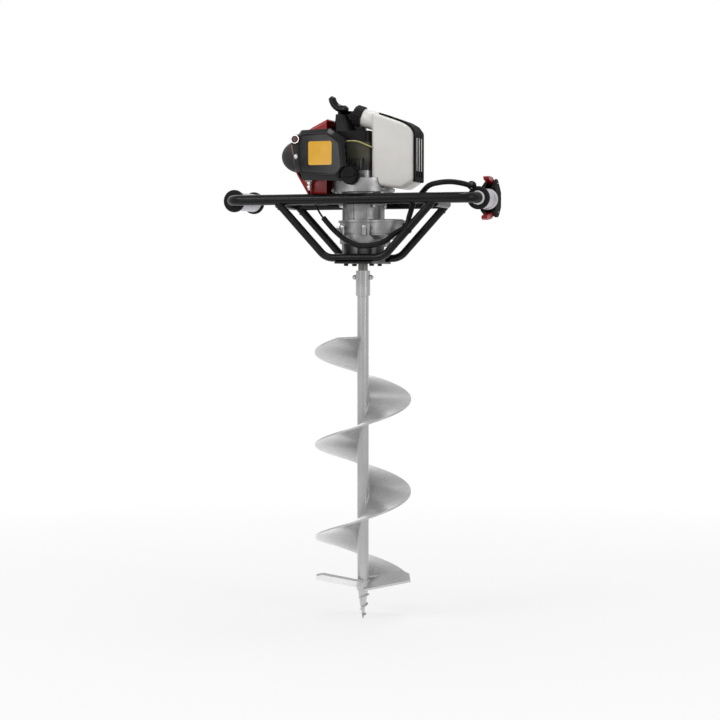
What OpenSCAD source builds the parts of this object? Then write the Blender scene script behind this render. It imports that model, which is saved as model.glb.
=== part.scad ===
// Two-stroke earth auger with a bolted bit. The bit turns about Z and its point is the origin.
// Millimetres, +X to the throttle grip, +Y to the operator, +Z up.

/* [Bit] */
// Outer diameter of the flight
bit_d = 200; // [150:1:250]
// Length of the bit from its point to the top of its sleeve
bit_len = 723; // [680:1:800]
// Diameter of the bit's core tube
tube_d = 24; // [22:0.5:27]
// Rise of the flight in one turn
flight_pitch = 192; // [170:1:205]
// Thickness of the flight plate
flight_t = 4; // [3:0.5:6]
// Turns of the flight
flight_turns = 2.6; // [2:0.05:2.65]
// Diameter of the socket sleeve
sleeve_d = 30; // [28:0.5:36]
// Length of the socket sleeve
sleeve_len = 52; // [46:1:70]
// Width of a cutter wing
cutter_w = 40; // [34:1:42]
// Thickness of a cutter wing
cutter_t = 5; // [4:0.5:7]
// Length of the screw point
tip_len = 60; // [50:1:64]

/* [Drive] */
// Diameter of the output shaft
shaft_d = 20; // [18:0.5:20.5]
// Length of shaft that the sleeve holds
shaft_grip = 44; // [38:1:45]
// Shaft seen between the sleeve and the base plate
shaft_gap = 14; // [8:1:30]
// Diameter of the cross bolt
bolt_d = 6; // [5:0.5:8]

/* [Gear train] */
// Teeth of the drive pinion
pinion_1 = 12; // [12:1:14]
// Teeth of the large layshaft gear
wheel_1 = 60; // [58:1:62]
// Module of the first stage
module_1 = 1.25; // [1.2:0.01:1.3]
// Teeth of the layshaft pinion
pinion_2 = 12; // [12:1:13]
// Teeth of the output gear
wheel_2 = 48; // [47:1:50]
// Face width of the first stage
face_1 = 10; // [8:0.5:10.5]
// Face width of the second stage
face_2 = 14; // [10:0.5:14.5]

/* [Gear case] */
// Height of the bearing nose
nose_h = 37; // [36:1:50]
// Radius of the bearing nose
nose_r = 32; // [29:0.5:36]
// Height of the gear case
case_h = 48; // [48:1:60]
// Wall of the gear case
case_wall = 5; // [4:0.25:6]

/* [Clutch] */
// Radius of the clutch housing
clutch_r = 43; // [41:0.25:43.5]
// Height of the clutch housing
clutch_h = 38; // [38:1:50]
// Wall of the clutch housing
clutch_wall = 3.5; // [3:0.25:4]

/* [Engine] */
// Radius of the fan housing
fan_r = 63; // [60:0.5:64]
// Height of the fan housing
fan_h = 24; // [24:1:34]
// Height of the neck under the fan housing
neck_h = 20; // [18:1:30]
// Height of the crankcase flange block
crankcase_h = 19; // [16:1:26]
// Height of the engine cowl
cowl_h = 58; // [56:1:66]
// Height of the starter housing
starter_h = 23; // [20:1:30]
// Reach of the cowl to the cylinder side
cowl_left = 58; // [55:1:60]
// Reach of the cowl to the tank side
cowl_right = 28; // [27:0.5:29]
// Depth of the cowl from front to back
cowl_depth = 92; // [84:1:96]
// Diameter of the crankshaft
crank_d = 16; // [14:0.5:17]

/* [Air cleaner] */
// Depth of the air cleaner cover
cover_depth = 16; // [14:0.5:22]
// Thickness of the air cleaner base
base_t = 8; // [6:0.5:9]

/* [Fuel tank] */
// Depth of the fuel tank from front to back
tank_depth = 80; // [70:1:84]
// Diameter of the fuel cap
cap_d = 44; // [42:0.5:46]

/* [Frame] */
// Diameter of the handlebar tube
bar_d = 22; // [20:0.5:22.5]
// Diameter of the cradle and hoop tubes
cradle_d = 16; // [14:0.5:16.5]
// Distance between the front and rear tubes
frame_depth = 116; // [114:1:130]
// Distance between the axes of the grips
handle_w = 528; // [500:1:600]
// Sideways place of the handlebar's middle
bar_shift = -12; // [-16:1:0]
// Bend radius of the handlebar
bar_bend = 30; // [26:1:34]
// Bend radius of the cradles
cradle_bend = 35; // [28:1:45]
// Width between the lower corners of a cradle
cradle_foot = 122; // [114:1:130]
// Width between the upper ends of a cradle
cradle_top = 344; // [334:1:356]
// Thickness of the base plate
plate_t = 4; // [3:0.5:6]

/* [Grips] */
// Length of a grip with its collars
grip_len = 125; // [118:1:140]
// Diameter of a grip barrel
grip_d = 38; // [36:0.5:40]
// Diameter of a grip collar
collar_d = 47; // [45:0.5:52]
// Thickness of a grip collar
collar_t = 6; // [5:0.5:8]
// Diameter of the throttle conduit
conduit_d = 11; // [9:0.5:11.5]

/* [Hidden] */
$fn = 48;

// Clearances: welded joints, pieces fixed in a bore, running shafts, and moving neighbours
weld_gap = 0.05;
fixed_gap = 0.02;
run_gap = 0.05;
free_gap = 0.4;

// Colours
steel = "silver";
alloy = "lightgray";
paint = "#1c1c1e";
black = "#222224";
red = "#96201f";
rubber = "#b4b2b8";

// Heights along the drive axis
z_plate = bit_len + shaft_gap;
z_frame = z_plate + plate_t;
z_cradle = z_frame + cradle_d / 2;
z_case = z_frame + nose_h;
z_clutch = z_case + case_h;
z_neck = z_clutch + clutch_h;
z_fan = z_neck + neck_h;
z_crankcase = z_fan + fan_h;
z_cowl = z_crankcase + crankcase_h;
z_cylinder = z_cowl + 32;
z_starter = z_cowl + cowl_h;
z_turret = z_starter + starter_h;
bar_clear = 4;
z_bar = z_fan - bar_clear - bar_d / 2;
hoop_drop = 10;
z_hoop = z_bar - hoop_drop;
y_tube = frame_depth / 2;
x_grip = handle_w / 2;
x_right = bar_shift + x_grip;
// Longer than any piece, for cuts that go right through
far = 200;

// Points along a smooth curve through hand-chosen points
function curve_point(a, b, c, d, t) = 0.5 * ((2 * b) + (c - a) * t + (2 * a - 5 * b + 4 * c - d) * t * t
  + (3 * b - a - 3 * c + d) * t * t * t);
function smooth_path(p, m) = concat([for (i = [0:len(p) - 2], j = [0:m - 1])
  curve_point(p[max(i - 1, 0)], p[i], p[i + 1], p[min(i + 2, len(p) - 1)], j / m)], [p[len(p) - 1]]);
function unit(v) = v / norm(v);
function tangent(p, i) = unit(p[min(i + 1, len(p) - 1)] - p[max(i - 1, 0)]);
function carried(n, t) = unit(n - (n * t) * t);
function normals(p, i = 0, last = [0, 1, 0]) = i == len(p) ? []
  : let(n = carried(last, tangent(p, i))) concat([n], normals(p, i + 1, n));

// A round tube swept along points, of one diameter or one for each point
module swept_tube(p, d, sides) {
  n = normals(p);
  points = [for (i = [0:len(p) - 1], k = [0:sides - 1]) let(a = 360 * k / sides, w = is_list(d)
    ? d[i] : d)
    p[i] + w / 2 * (cos(a) * n[i] + sin(a) * cross(tangent(p, i), n[i]))];
  walls = [for (i = [0:len(p) - 2], k = [0:sides - 1]) let(a = i * sides + k, b = i * sides + (k + 1)
    % sides)
    each [[a, b + sides, b], [a, a + sides, b + sides]]];
  start = [for (k = [0:sides - 1]) k];
  finish = [for (k = [sides - 1:-1:0]) (len(p) - 1) * sides + k];
  polyhedron(points, concat(walls, [start, finish]), convexity = 6);
}

// A ring about Z
module ring(outer, inner, h) {
  difference() {
    cylinder(h = h, r = outer);
    translate([0, 0, -1]) cylinder(h = h + 2, r = inner);
  }
}

// A hexagon-headed screw along +Z from the underside of its head
module hex_screw(d, length, head_d, head_h) {
  cylinder(h = length, d = d);
  translate([0, 0, -head_h]) cylinder(h = head_h, d = head_d, $fn = 6);
}

// A rectangle with round corners, given by two corners
module round_rect(a, b, r) {
  hull() for (x = [a.x + r, b.x - r], y = [a.y + r, b.y - r]) translate([x, y]) circle(r, $fn = 32);
}

// The outline of a knurled knob
module knurl(r, teeth, depth) {
  polygon([for (i = [0:4 * teeth - 1]) let(a = 90 * i / teeth) (i % 4 < 2 ? r : r - depth) * [cos(a),
    sin(a)]]);
}

// Turns a shape drawn in XY so that its y points up and it runs to the back from y0
module stand(y0) {
  translate([0, y0, 0]) rotate([90, 0, 0]) mirror([0, 0, 1]) children();
}

// Frame tubes
y_arm = -y_tube + bar_bend;
y_grip = y_arm + 1;
y_grip_end = y_grip + grip_len;
arm_end_wall = 5;

module bar_solid(extra) {
  d = bar_d + 2 * extra;
  translate([bar_shift, -y_tube, z_bar]) {
    translate([-x_grip + bar_bend, 0, 0]) rotate([0, 90, 0]) cylinder(h = handle_w - 2 * bar_bend, d = d);
    for (s = [0, 1]) mirror([s, 0, 0]) {
      translate([x_grip - bar_bend, bar_bend, 0]) rotate([0, 0, -90])
        rotate_extrude(angle = 90) translate([bar_bend, 0]) circle(d = d);
      translate([x_grip, bar_bend, 0]) rotate([-90, 0, 0])
        cylinder(h = y_grip_end - arm_end_wall - y_arm, d = d);
    }
  }
}
module handlebar() { color(paint) bar_solid(0); }

hoop_bend = 16;
hoop_out = 5;
leg_angle = atan2(z_bar - z_cradle, (cradle_top - cradle_foot) / 2);
function leg_x(z) = cradle_foot / 2 + (z - z_cradle) / tan(leg_angle);
x_hoop = leg_x(z_hoop) + hoop_out;
module hoop_solid(extra) {
  d = cradle_d + 2 * extra;
  translate([0, y_tube, z_hoop]) {
    translate([-x_hoop + hoop_bend, 0, 0]) rotate([0, 90, 0]) cylinder(h = 2 * (x_hoop - hoop_bend),
      d = d);
    for (s = [0, 1]) mirror([s, 0, 0]) {
      translate([x_hoop - hoop_bend, -hoop_bend, 0]) rotate_extrude(angle = 90)
        translate([hoop_bend, 0]) circle(d = d);
      translate([x_hoop, -hoop_bend, 0]) rotate([90, 0, 0]) cylinder(h = frame_depth - hoop_bend, d = d);
    }
  }
}
module rear_hoop() {
  color(paint) difference() {
    hoop_solid(0);
    bar_solid(weld_gap);
    translate([-x_grip, -y_tube - bar_d, z_bar - bar_d]) cube([handle_w,
      bar_d + cradle_d / 2 + weld_gap, 2 * bar_d]);
  }
}

bend_run = cradle_bend * tan(leg_angle / 2);
module cradle_tube(rise) {
  corner = cradle_foot / 2 - bend_run;
  leg = [corner + cradle_bend * sin(leg_angle), cradle_bend * (1 - cos(leg_angle))];
  rotate([0, 90, 0]) cylinder(h = 2 * (corner - fixed_gap), d = cradle_d, center = true);
  for (s = [0, 1]) mirror([s, 0, 0]) {
    translate([corner, cradle_bend, 0]) rotate([0, 0, -90])
      rotate_extrude(angle = leg_angle) translate([cradle_bend, 0]) circle(d = cradle_d);
    translate(leg) rotate([0, 0, leg_angle]) rotate([0, 90, 0]) translate([0, 0, fixed_gap])
      cylinder(h = (rise - leg.y) / sin(leg_angle), d = cradle_d);
  }
}
module front_cradle() {
  color(paint) difference() {
    translate([0, -y_tube, z_cradle]) rotate([90, 0, 0]) cradle_tube(z_bar - z_cradle);
    bar_solid(weld_gap);
  }
}
module rear_cradle() {
  color(paint) difference() {
    translate([0, y_tube, z_cradle]) rotate([90, 0, 0]) cradle_tube(z_hoop - z_cradle);
    hoop_solid(weld_gap);
  }
}

// Base plate and its bolts
plate_x = 40;
mount_r = 39;
mount_d = 6;
mount_head = 10;
mount_head_h = 4.5;
mount_depth = 6;
module mount_places() {
  for (a = [45:90:315]) rotate([0, 0, a]) translate([mount_r, 0, 0]) children();
}
module base_plate() {
  color(paint) translate([0, 0, z_plate]) difference() {
    linear_extrude(plate_t) square([2 * plate_x, frame_depth + cradle_d], center = true);
    translate([0, 0, -1]) cylinder(h = plate_t + 2, r = seal_r + 3);
    translate([0, 0, -1]) mount_places() cylinder(h = plate_t + 2, d = mount_d + 2 * run_gap);
  }
}
module mount_bolts() {
  color(steel) translate([0, 0, z_plate]) mount_places()
    hex_screw(mount_d, plate_t + mount_depth, mount_head, mount_head_h);
}

// Grips
throttle_len = 45;
cable_boss = [-14, -25];
module along_arm(side, y) {
  translate([bar_shift + side * x_grip, y, z_bar]) rotate([-90, 0, 0]) children();
}
module barrel(length) {
  ribs = 5;
  rotate_extrude() polygon([[bar_d / 2 + fixed_gap, 0], [grip_d / 2 - 1, 0], [grip_d / 2, 3],
    for (i = [0:ribs - 1]) let(z = length * (i + 1) / (ribs + 1)) each [[grip_d / 2, z - 4],
      [grip_d / 2 - 1, z - 2], [grip_d / 2 - 1, z + 2], [grip_d / 2, z + 4]],
    [grip_d / 2, length - 3], [grip_d / 2 - 1, length], [bar_d / 2 + fixed_gap, length]]);
}
left_barrel = grip_len - collar_t - collar_t - arm_end_wall;
right_barrel = grip_len - collar_t - throttle_len;
module left_grip() { color(rubber) along_arm(-1, y_grip + collar_t) barrel(left_barrel); }
module right_grip() { color(rubber) along_arm(1, y_grip + collar_t) barrel(right_barrel); }

module collar() {
  rotate_extrude() polygon([[bar_d / 2 + fixed_gap, 0], [collar_d / 2 - 2, 0], [collar_d / 2, 2],
    [collar_d / 2, collar_t - 1], [collar_d / 2 - 1, collar_t], [bar_d / 2 + fixed_gap, collar_t]]);
}
module grip_collars() {
  color(black) {
    along_arm(-1, y_grip) collar();
    along_arm(-1, y_grip_end - collar_t - arm_end_wall) {
      collar();
      translate([0, 0, collar_t]) cylinder(h = arm_end_wall, r1 = collar_d / 2 - 1,
        r2 = collar_d / 2 - 5);
    }
    along_arm(1, y_grip) {
      collar();
      difference() {
        hull() {
          translate([cable_boss.x, cable_boss.y, 0]) cylinder(h = collar_t, d = conduit_d + 7, $fn = 32);
          translate([cable_boss.x / 2, -bar_d / 2 - 4, 0]) cylinder(h = collar_t, d = 10, $fn = 32);
        }
        translate([cable_boss.x, cable_boss.y, -1]) cylinder(h = collar_t + 2,
          d = conduit_d + 2 * free_gap);
      }
    }
  }
}

// Throttle: housing on the arm's end, trigger below, lock above
y_throttle = y_grip_end - throttle_len;
throttle_w = 34;
lever_w = 12;
lever_slot = lever_w + 2 * free_gap;
pin_d = 4;
trigger_pivot = [y_throttle + 30, z_bar - 25];
lock_pivot = [y_throttle + 32, z_bar + 33];
trigger_reach = 62;
lock_reach = 50;
switch_y = y_throttle + 20;
switch_travel = 4;
module side_profile(width) {
  translate([x_right + width / 2, 0, 0]) rotate([90, 0, -90]) mirror([1, 0, 0]) linear_extrude(width)
    children();
}
module throttle_housing() {
  color(black) difference() {
    intersection() {
      side_profile(throttle_w) hull() {
        for (p = [[y_throttle + 7, z_bar + 17], [y_throttle + 7, z_bar - 17], trigger_pivot + [4, -2],
          lock_pivot + [2, 1], [y_grip_end - 9, z_bar]]) translate(p) circle(r = 9, $fn = 32);
        translate([y_throttle, z_bar - 24]) square([4, 48]);
      }
      along_arm(1, y_throttle) hull() {
        cylinder(h = throttle_len, d = throttle_w + 6, $fn = 32);
        for (s = [-1, 1]) translate([0, s * 45, 0]) cylinder(h = throttle_len, d = throttle_w - 14,
          $fn = 32);
      }
    }
    along_arm(1, y_throttle - 1) cylinder(h = throttle_len + 1 - arm_end_wall + run_gap,
      d = bar_d + 2 * fixed_gap);
    side_profile(lever_slot) {
      polygon([[y_throttle - 1, z_bar - 14], [y_throttle + 40, z_bar - 14], [y_throttle + 40, z_bar - 50],
        [y_throttle - 1, z_bar - 50]]);
      polygon([[y_throttle - 1, z_bar + 14], [y_throttle + 42, z_bar + 14], [y_throttle + 42, z_bar + 50],
        [y_throttle - 1, z_bar + 50]]);
    }
    for (p = [trigger_pivot, lock_pivot]) translate([x_right, p.x, p.y]) rotate([0, 90, 0])
      cylinder(h = throttle_w + 2, d = pin_d + 2 * fixed_gap, center = true);
    translate([x_right - throttle_w / 2 - 3, switch_y - 4, z_bar - 4 - free_gap])
      cube([7, 8 + switch_travel, 8 + 2 * free_gap]);
  }
}
module throttle_trigger() {
  color(red) difference() {
    side_profile(lever_w) {
      translate(trigger_pivot) circle(d = 12);
      translate(trigger_pivot) rotate(15) polygon([[0, 5], [0, -5], [-22, -9], [-trigger_reach + 8, -4],
        [-trigger_reach, 1], [-trigger_reach + 3, 6], [-30, 4]]);
    }
    translate([x_right, trigger_pivot.x, trigger_pivot.y]) rotate([0, 90, 0])
      cylinder(h = lever_w + 2, d = pin_d + 2 * run_gap, center = true);
  }
}
module throttle_lock() {
  color(red) difference() {
    side_profile(lever_w) {
      translate(lock_pivot) circle(d = 11);
      translate(lock_pivot) rotate(-14) polygon([[0, 4.6], [-18, 9], [-lock_reach + 4, 3],
        [-lock_reach, 0],
        [-lock_reach + 4, -4], [-20, -3], [0, -4.6]]);
    }
    translate([x_right, lock_pivot.x, lock_pivot.y]) rotate([0, 90, 0])
      cylinder(h = lever_w + 2, d = pin_d + 2 * run_gap, center = true);
  }
}
module throttle_pins() {
  color(steel) for (p = [trigger_pivot, lock_pivot]) translate([x_right, p.x, p.y]) rotate([0, 90, 0])
    cylinder(h = throttle_w - 3, d = pin_d, center = true);
}
module stop_switch() {
  color(red) translate([x_right - throttle_w / 2 - 5, switch_y - 4 + free_gap, z_bar - 4])
    cube([5 + 3.6, 8 - 2 * free_gap, 8]);
}

// Throttle conduit, its inner cable, adjuster and tie
z_tie = z_cradle + 56.5;
tie_conduit = [-10, 13];
tie_at = [leg_x(z_tie), -y_tube, z_tie];
conduit_at_tie = tie_at + tie_conduit.x * [sin(leg_angle), 0, -cos(leg_angle)] + [0, tie_conduit.y, 0];
adjuster_at = [-100, -50];
adjuster_d = 6;
adjuster_nut = 10;
bracket_z = z_cylinder - 54;
z_adjuster = bracket_z - 17;
x_boss = x_right + cable_boss.x;
z_boss = z_bar - cable_boss.y;
y_front = -y_tube - 4;
conduit_end = [-66, -y_tube - 2, z_cradle + 82];
conduit_route = [[x_boss, y_grip + 3, z_boss], [x_boss, y_grip - 4, z_boss],
  [x_boss - 2, -y_tube + 16, z_boss], [x_boss - 12, -y_tube + 4, z_boss + 3], [x_boss - 32, y_front,
    z_boss + 6],
  [x_boss - 56, y_front, z_boss + 5], [x_boss - 80, -y_tube + 4, z_boss], [leg_x(z_bar) - 32,
    -y_tube + 16, z_bar + 12],
  [leg_x(z_bar) - 52, -y_tube + 21, z_bar - 11], [leg_x(z_bar) - 60, -y_tube + 18, z_bar - 35],
    conduit_at_tie,
  [82, -y_tube + 6, z_cradle + 47], [64, -y_tube - 2, z_cradle + 32], [38, y_front, z_cradle + 25],
  [10, y_front, z_cradle + 25], [-18, y_front, z_cradle + 37], [-44, -y_tube - 3, z_cradle + 58],
    conduit_end];
cable_route = [conduit_end + [-0.1, 0, 0.1], conduit_end + [-4, 0.2, 4.4], [-78, -y_tube + 4, z_bar - 24],
  [-88, -y_tube + 13, z_bar - 11], [-97, -y_tube + 15, z_bar + 3], [adjuster_at.x, adjuster_at.y + 1,
    z_adjuster - 6],
  [adjuster_at.x, adjuster_at.y, z_adjuster - 3], [adjuster_at.x, adjuster_at.y, z_adjuster - weld_gap]];
cable_d = 4;
module throttle_conduit() { color(black) swept_tube(smooth_path(conduit_route, 3), conduit_d, 12); }
module throttle_cable() { color(black) swept_tube(smooth_path(cable_route, 4), cable_d, 10); }
module cable_adjuster() {
  stem = bracket_z - z_adjuster;
  color(steel) translate([adjuster_at.x, adjuster_at.y, z_adjuster]) {
    cylinder(h = stem - 4, d = adjuster_d);
    translate([0, 0, 4]) cylinder(h = 5, d = adjuster_nut, $fn = 6);
    translate([0, 0, stem - 4]) cylinder(h = 4, d = adjuster_nut, $fn = 6);
    translate([0, 0, stem]) cylinder(h = 10, d = adjuster_d);
  }
}
// The tie goes round the right front leg and the conduit beside it
tie_w = 5;
tie_t = 1.4;
module tie_loop() {
  hull() {
    circle(d = cradle_d + 2 * weld_gap, $fn = 32);
    translate(tie_conduit) circle(d = conduit_d + 2.4, $fn = 32);
  }
}
module cable_tie() {
  color(black) translate(tie_at)
    rotate([0, 90 - leg_angle, 0]) linear_extrude(tie_w, center = true) difference() {
      offset(tie_t) tie_loop();
      tie_loop();
    }
}

// Gears
pressure = 25;
pinion_addendum = 1;
wheel_addendum = 0.6;
dedendum = 1.15;
backlash = 0.08;
gear_centre = module_1 * (pinion_1 + wheel_1) / 2;
module_2 = 2 * gear_centre / (pinion_2 + wheel_2);
function involute(a) = tan(a) * 180 / PI - a;
function tooth_half(m, n, r) = let(base = m * n * cos(pressure) / 2, pitch = m * n / 2)
  90 / n - backlash / pitch * 180 / PI + involute(pressure) - (r > base ? involute(acos(base / r)) : 0);
function flank(m, n, add) = let(base = m * n * cos(pressure) / 2, tip = m * (n / 2 + add),
  root = m * (n / 2 - dedendum), low = max(base, root))
  concat(root < base ? [root] : [], [for (i = [0:4]) low + (tip - low) * i / 4]);
module gear_outline(m, n, add, phase) {
  radii = flank(m, n, add);
  last = len(radii) - 1;
  polygon([for (i = [0:n - 1]) let(a = phase + 360 * i / n) each concat(
    [for (k = [0:last]) let(t = a - tooth_half(m, n, radii[k])) radii[k] * [cos(t), sin(t)]],
    [for (k = [last:-1:0]) let(t = a + tooth_half(m, n, radii[k])) radii[k] * [cos(t), sin(t)]])]);
}
// A wheel's gap faces the pinion's tooth at half a turn
function wheel_phase(n) = n % 2 == 0 ? 180 / n : 0;

// Gear case levels
seal_r = 16;
seal_h = 6;
bearing_r = 21;
bearing_h = 12;
floor_t = 5;
end_play = 3;
z_stage_2 = z_case + floor_t + end_play;
z_stage_1 = z_stage_2 + face_2 + 4;
z_split = z_stage_1 - 1;
z_roof = z_stage_1 + face_1 + end_play;
tip_1 = module_1 * (wheel_1 / 2 + wheel_addendum);
tip_2 = module_2 * (wheel_2 / 2 + wheel_addendum);
gear_room = 2;
case_r = tip_2 + gear_room + case_wall + 4;
lobe_r = tip_1 + gear_room + case_wall - 2;
lobe_rise = 2;
split_rim = 2.5;
split_t = 4;
lobe_under = 8;
lay_d = 12;
bush_r = 9;
bush_h = 8;
input_d = 15;
input_bearing_r = 16;
lug_r = 6;
lug_h = 8;
screw_d = 5;
case_lugs = [-70, 70, 125, 180, 235];
module at_lay() { translate([gear_centre, 0, 0]) children(); }
module at_case_lugs() {
  for (a = case_lugs) rotate([0, 0, a]) translate([case_r + 5, 0, 0]) children();
}
module split_flange(z) {
  translate([0, 0, z]) {
    cylinder(h = split_t, r = case_r + split_rim);
    at_lay() cylinder(h = split_t, r = lobe_r + split_rim);
  }
}
module gearbox_lower() {
  color(alloy) difference() {
    union() {
      translate([0, 0, z_frame]) cylinder(h = 8, r = mount_r + 7);
      translate([0, 0, z_frame]) cylinder(h = nose_h + 1, r = nose_r);
      for (a = [0:45:315]) rotate([0, 0, a]) translate([0, 0, z_frame]) rotate([90, 0, 0])
        linear_extrude(5, center = true) polygon([[bearing_r + 4, 7], [mount_r + 5, 7],
          [case_r - 2, nose_h + 1], [bearing_r + 4, nose_h + 1]]);
      translate([0, 0, z_case]) cylinder(h = z_split - z_case, r = case_r);
      at_lay() {
        translate([0, 0, z_case - 6]) cylinder(h = z_split - z_case + 6, r = bush_r + 5);
        translate([0, 0, z_split - 2 * lobe_under]) cylinder(h = lobe_under, r1 = lobe_r - 10,
          r2 = lobe_r);
        translate([0, 0, z_split - lobe_under]) cylinder(h = lobe_under, r = lobe_r);
      }
      split_flange(z_split - split_t);
      at_case_lugs() translate([0, 0, z_split - lug_h]) cylinder(h = lug_h, r = lug_r);
    }
    translate([0, 0, z_case + floor_t]) cylinder(h = case_h, r = tip_2 + gear_room);
    at_lay() {
      translate([0, 0, z_stage_2 - end_play]) cylinder(h = case_h,
        r = module_2 * (pinion_2 / 2 + pinion_addendum) + gear_room);
      translate([0, 0, z_stage_1 - 2]) cylinder(h = case_h, r = tip_1 + gear_room);
      translate([0, 0, z_stage_2 - end_play - bush_h]) cylinder(h = case_h, r = bush_r + fixed_gap);
    }
    translate([0, 0, z_frame - 1]) cylinder(h = nose_h, r = seal_r + fixed_gap);
    translate([0, 0, z_frame + seal_h]) cylinder(h = case_h, r = bearing_r + fixed_gap);
    translate([0, 0, z_frame - 1]) mount_places() cylinder(h = mount_depth + 1.5,
      d = mount_d + 2 * run_gap);
    at_case_lugs() translate([0, 0, z_split - lug_h - 1]) cylinder(h = lug_h + 2,
      d = screw_d + 2 * run_gap);
  }
}
module gearbox_upper() {
  color(alloy) difference() {
    union() {
      translate([0, 0, z_split]) cylinder(h = z_clutch - z_split, r = case_r);
      at_lay() translate([0, 0, z_split]) cylinder(h = z_clutch - z_split, r = lobe_r);
      difference() {
        at_lay() translate([0, 0, z_clutch - 1]) cylinder(h = lobe_rise + 1, r1 = lobe_r,
          r2 = lobe_r - 3);
        translate([0, 0, z_clutch]) cylinder(h = lobe_rise + 1, r = clutch_r + 2);
      }
      split_flange(z_split);
      at_case_lugs() translate([0, 0, z_split]) cylinder(h = lug_h, r = lug_r);
    }
    translate([0, 0, z_split - 1]) cylinder(h = z_roof - z_split + 1, r = tip_2 + gear_room);
    at_lay() {
      translate([0, 0, z_split - 1]) cylinder(h = z_roof - z_split + 1, r = tip_1 + gear_room);
      translate([0, 0, z_split - 1]) cylinder(h = z_roof - z_split + 1 + bush_h, r = bush_r + fixed_gap);
    }
    translate([0, 0, z_split]) cylinder(h = case_h, r = input_bearing_r + fixed_gap);
    at_case_lugs() translate([0, 0, z_split - 1]) cylinder(h = lug_h + 2, d = screw_d + 2 * run_gap);
  }
}
neck_lug_r = 50;
module at_neck_lugs() {
  for (a = [45:90:315]) rotate([0, 0, a]) translate([neck_lug_r, 0, 0]) children();
}
fan_lug_angles = [-150, -30, 30, 150];
module at_fan_lugs() {
  for (a = fan_lug_angles) rotate([0, 0, a]) translate([fan_r - 6, 0, 0]) children();
}
module housing_bolts() {
  color(steel) {
    at_case_lugs() translate([0, 0, z_split + lug_h]) mirror([0, 0, 1]) hex_screw(screw_d,
      2 * lug_h - 1, 9, 4);
    at_neck_lugs() translate([0, 0, z_neck - lug_h]) hex_screw(screw_d, 2 * lug_h - 1, 9, 4);
    at_fan_lugs() translate([0, 0, z_fan]) hex_screw(screw_d, fan_h + 2, 9, 3);
  }
}
module oil_seal() { color(black) translate([0, 0, z_frame]) ring(seal_r, shaft_d / 2 + run_gap, seal_h); }
module gearbox_bearings() {
  color(steel) {
    for (z = [z_frame + seal_h, z_case + floor_t - 1 - bearing_h]) translate([0, 0, z])
      ring(bearing_r, shaft_d / 2 + run_gap, bearing_h);
    translate([0, 0, z_roof]) ring(input_bearing_r, input_d / 2 + run_gap, z_clutch - z_roof);
    at_lay() for (z = [z_stage_2 - end_play - bush_h, z_roof]) translate([0, 0, z])
      ring(bush_r, lay_d / 2 + run_gap, bush_h);
  }
}
module output_shaft() {
  color(steel) difference() {
    translate([0, 0, bit_len - shaft_grip]) cylinder(h = z_stage_2 + face_2 - bit_len + shaft_grip,
      d = shaft_d);
    coupling_bore(fixed_gap);
  }
}
module output_gear() {
  color(steel) translate([0, 0, z_stage_2]) difference() {
    union() {
      linear_extrude(face_2) gear_outline(module_2, wheel_2, wheel_addendum, wheel_phase(wheel_2));
      translate([0, 0, -1.5]) cylinder(h = face_2 + 1.5, d = shaft_d + 12);
    }
    translate([0, 0, -3]) cylinder(h = face_2 + 6, d = shaft_d + 2 * fixed_gap);
  }
}
module lay_shaft() {
  color(steel) at_lay() {
    translate([0, 0, z_stage_2 - end_play - bush_h + 0.5])
      cylinder(h = z_roof + bush_h - z_stage_2 + 2 + bush_h, d = lay_d);
    translate([0, 0, z_stage_2]) linear_extrude(face_2) gear_outline(module_2, pinion_2,
      pinion_addendum, 180);
  }
}
module lay_gear() {
  color(steel) at_lay() translate([0, 0, z_stage_1]) difference() {
    union() {
      linear_extrude(face_1) gear_outline(module_1, wheel_1, wheel_addendum, 180 + wheel_phase(wheel_1));
      cylinder(h = face_1 + 1.5, d = lay_d + 10);
    }
    translate([0, 0, -2]) cylinder(h = face_1 + 6, d = lay_d + 2 * fixed_gap);
  }
}

// Clutch
z_drum = z_clutch + clutch_wall + 1.5;
drum_r = clutch_r - clutch_wall - 2;
drum_wall = 2.5;
drum_floor = 3;
pinion_over = 1;
z_rim = z_neck - 8;
shoe_r = drum_r - drum_wall - 1;
module clutch_drum() {
  color(steel) {
    translate([0, 0, z_stage_1]) linear_extrude(face_1 + pinion_over)
      gear_outline(module_1, pinion_1, pinion_addendum, 0);
    translate([0, 0, z_stage_1 + face_1 + pinion_over / 2])
      cylinder(h = z_drum - z_stage_1 - face_1, d = input_d);
    translate([0, 0, z_drum]) difference() {
      cylinder(h = z_rim - z_drum, r = drum_r);
      translate([0, 0, drum_floor]) cylinder(h = z_rim, r = drum_r - drum_wall);
    }
  }
}
module clutch_shoes() {
  h = z_rim - z_drum - drum_floor - 5;
  color("dimgray") translate([0, 0, z_drum + drum_floor + 3]) difference() {
    union() {
      cylinder(h = h, r = crank_d / 2 + 5);
      for (s = [0, 180]) rotate([0, 0, s]) {
        translate([0, -6, 0]) cube([shoe_r - 4, 12, h]);
        intersection() {
          ring(shoe_r, shoe_r - 11, h);
          translate([0, 0, -1]) linear_extrude(h + 2) polygon([[0, 0], [shoe_r, -1.8 * shoe_r],
            [2 * shoe_r, 0],
            [shoe_r, 1.8 * shoe_r]]);
        }
      }
    }
    translate([0, 0, -1]) cylinder(h = h + 2, d = crank_d + 2 * fixed_gap);
  }
}
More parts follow.
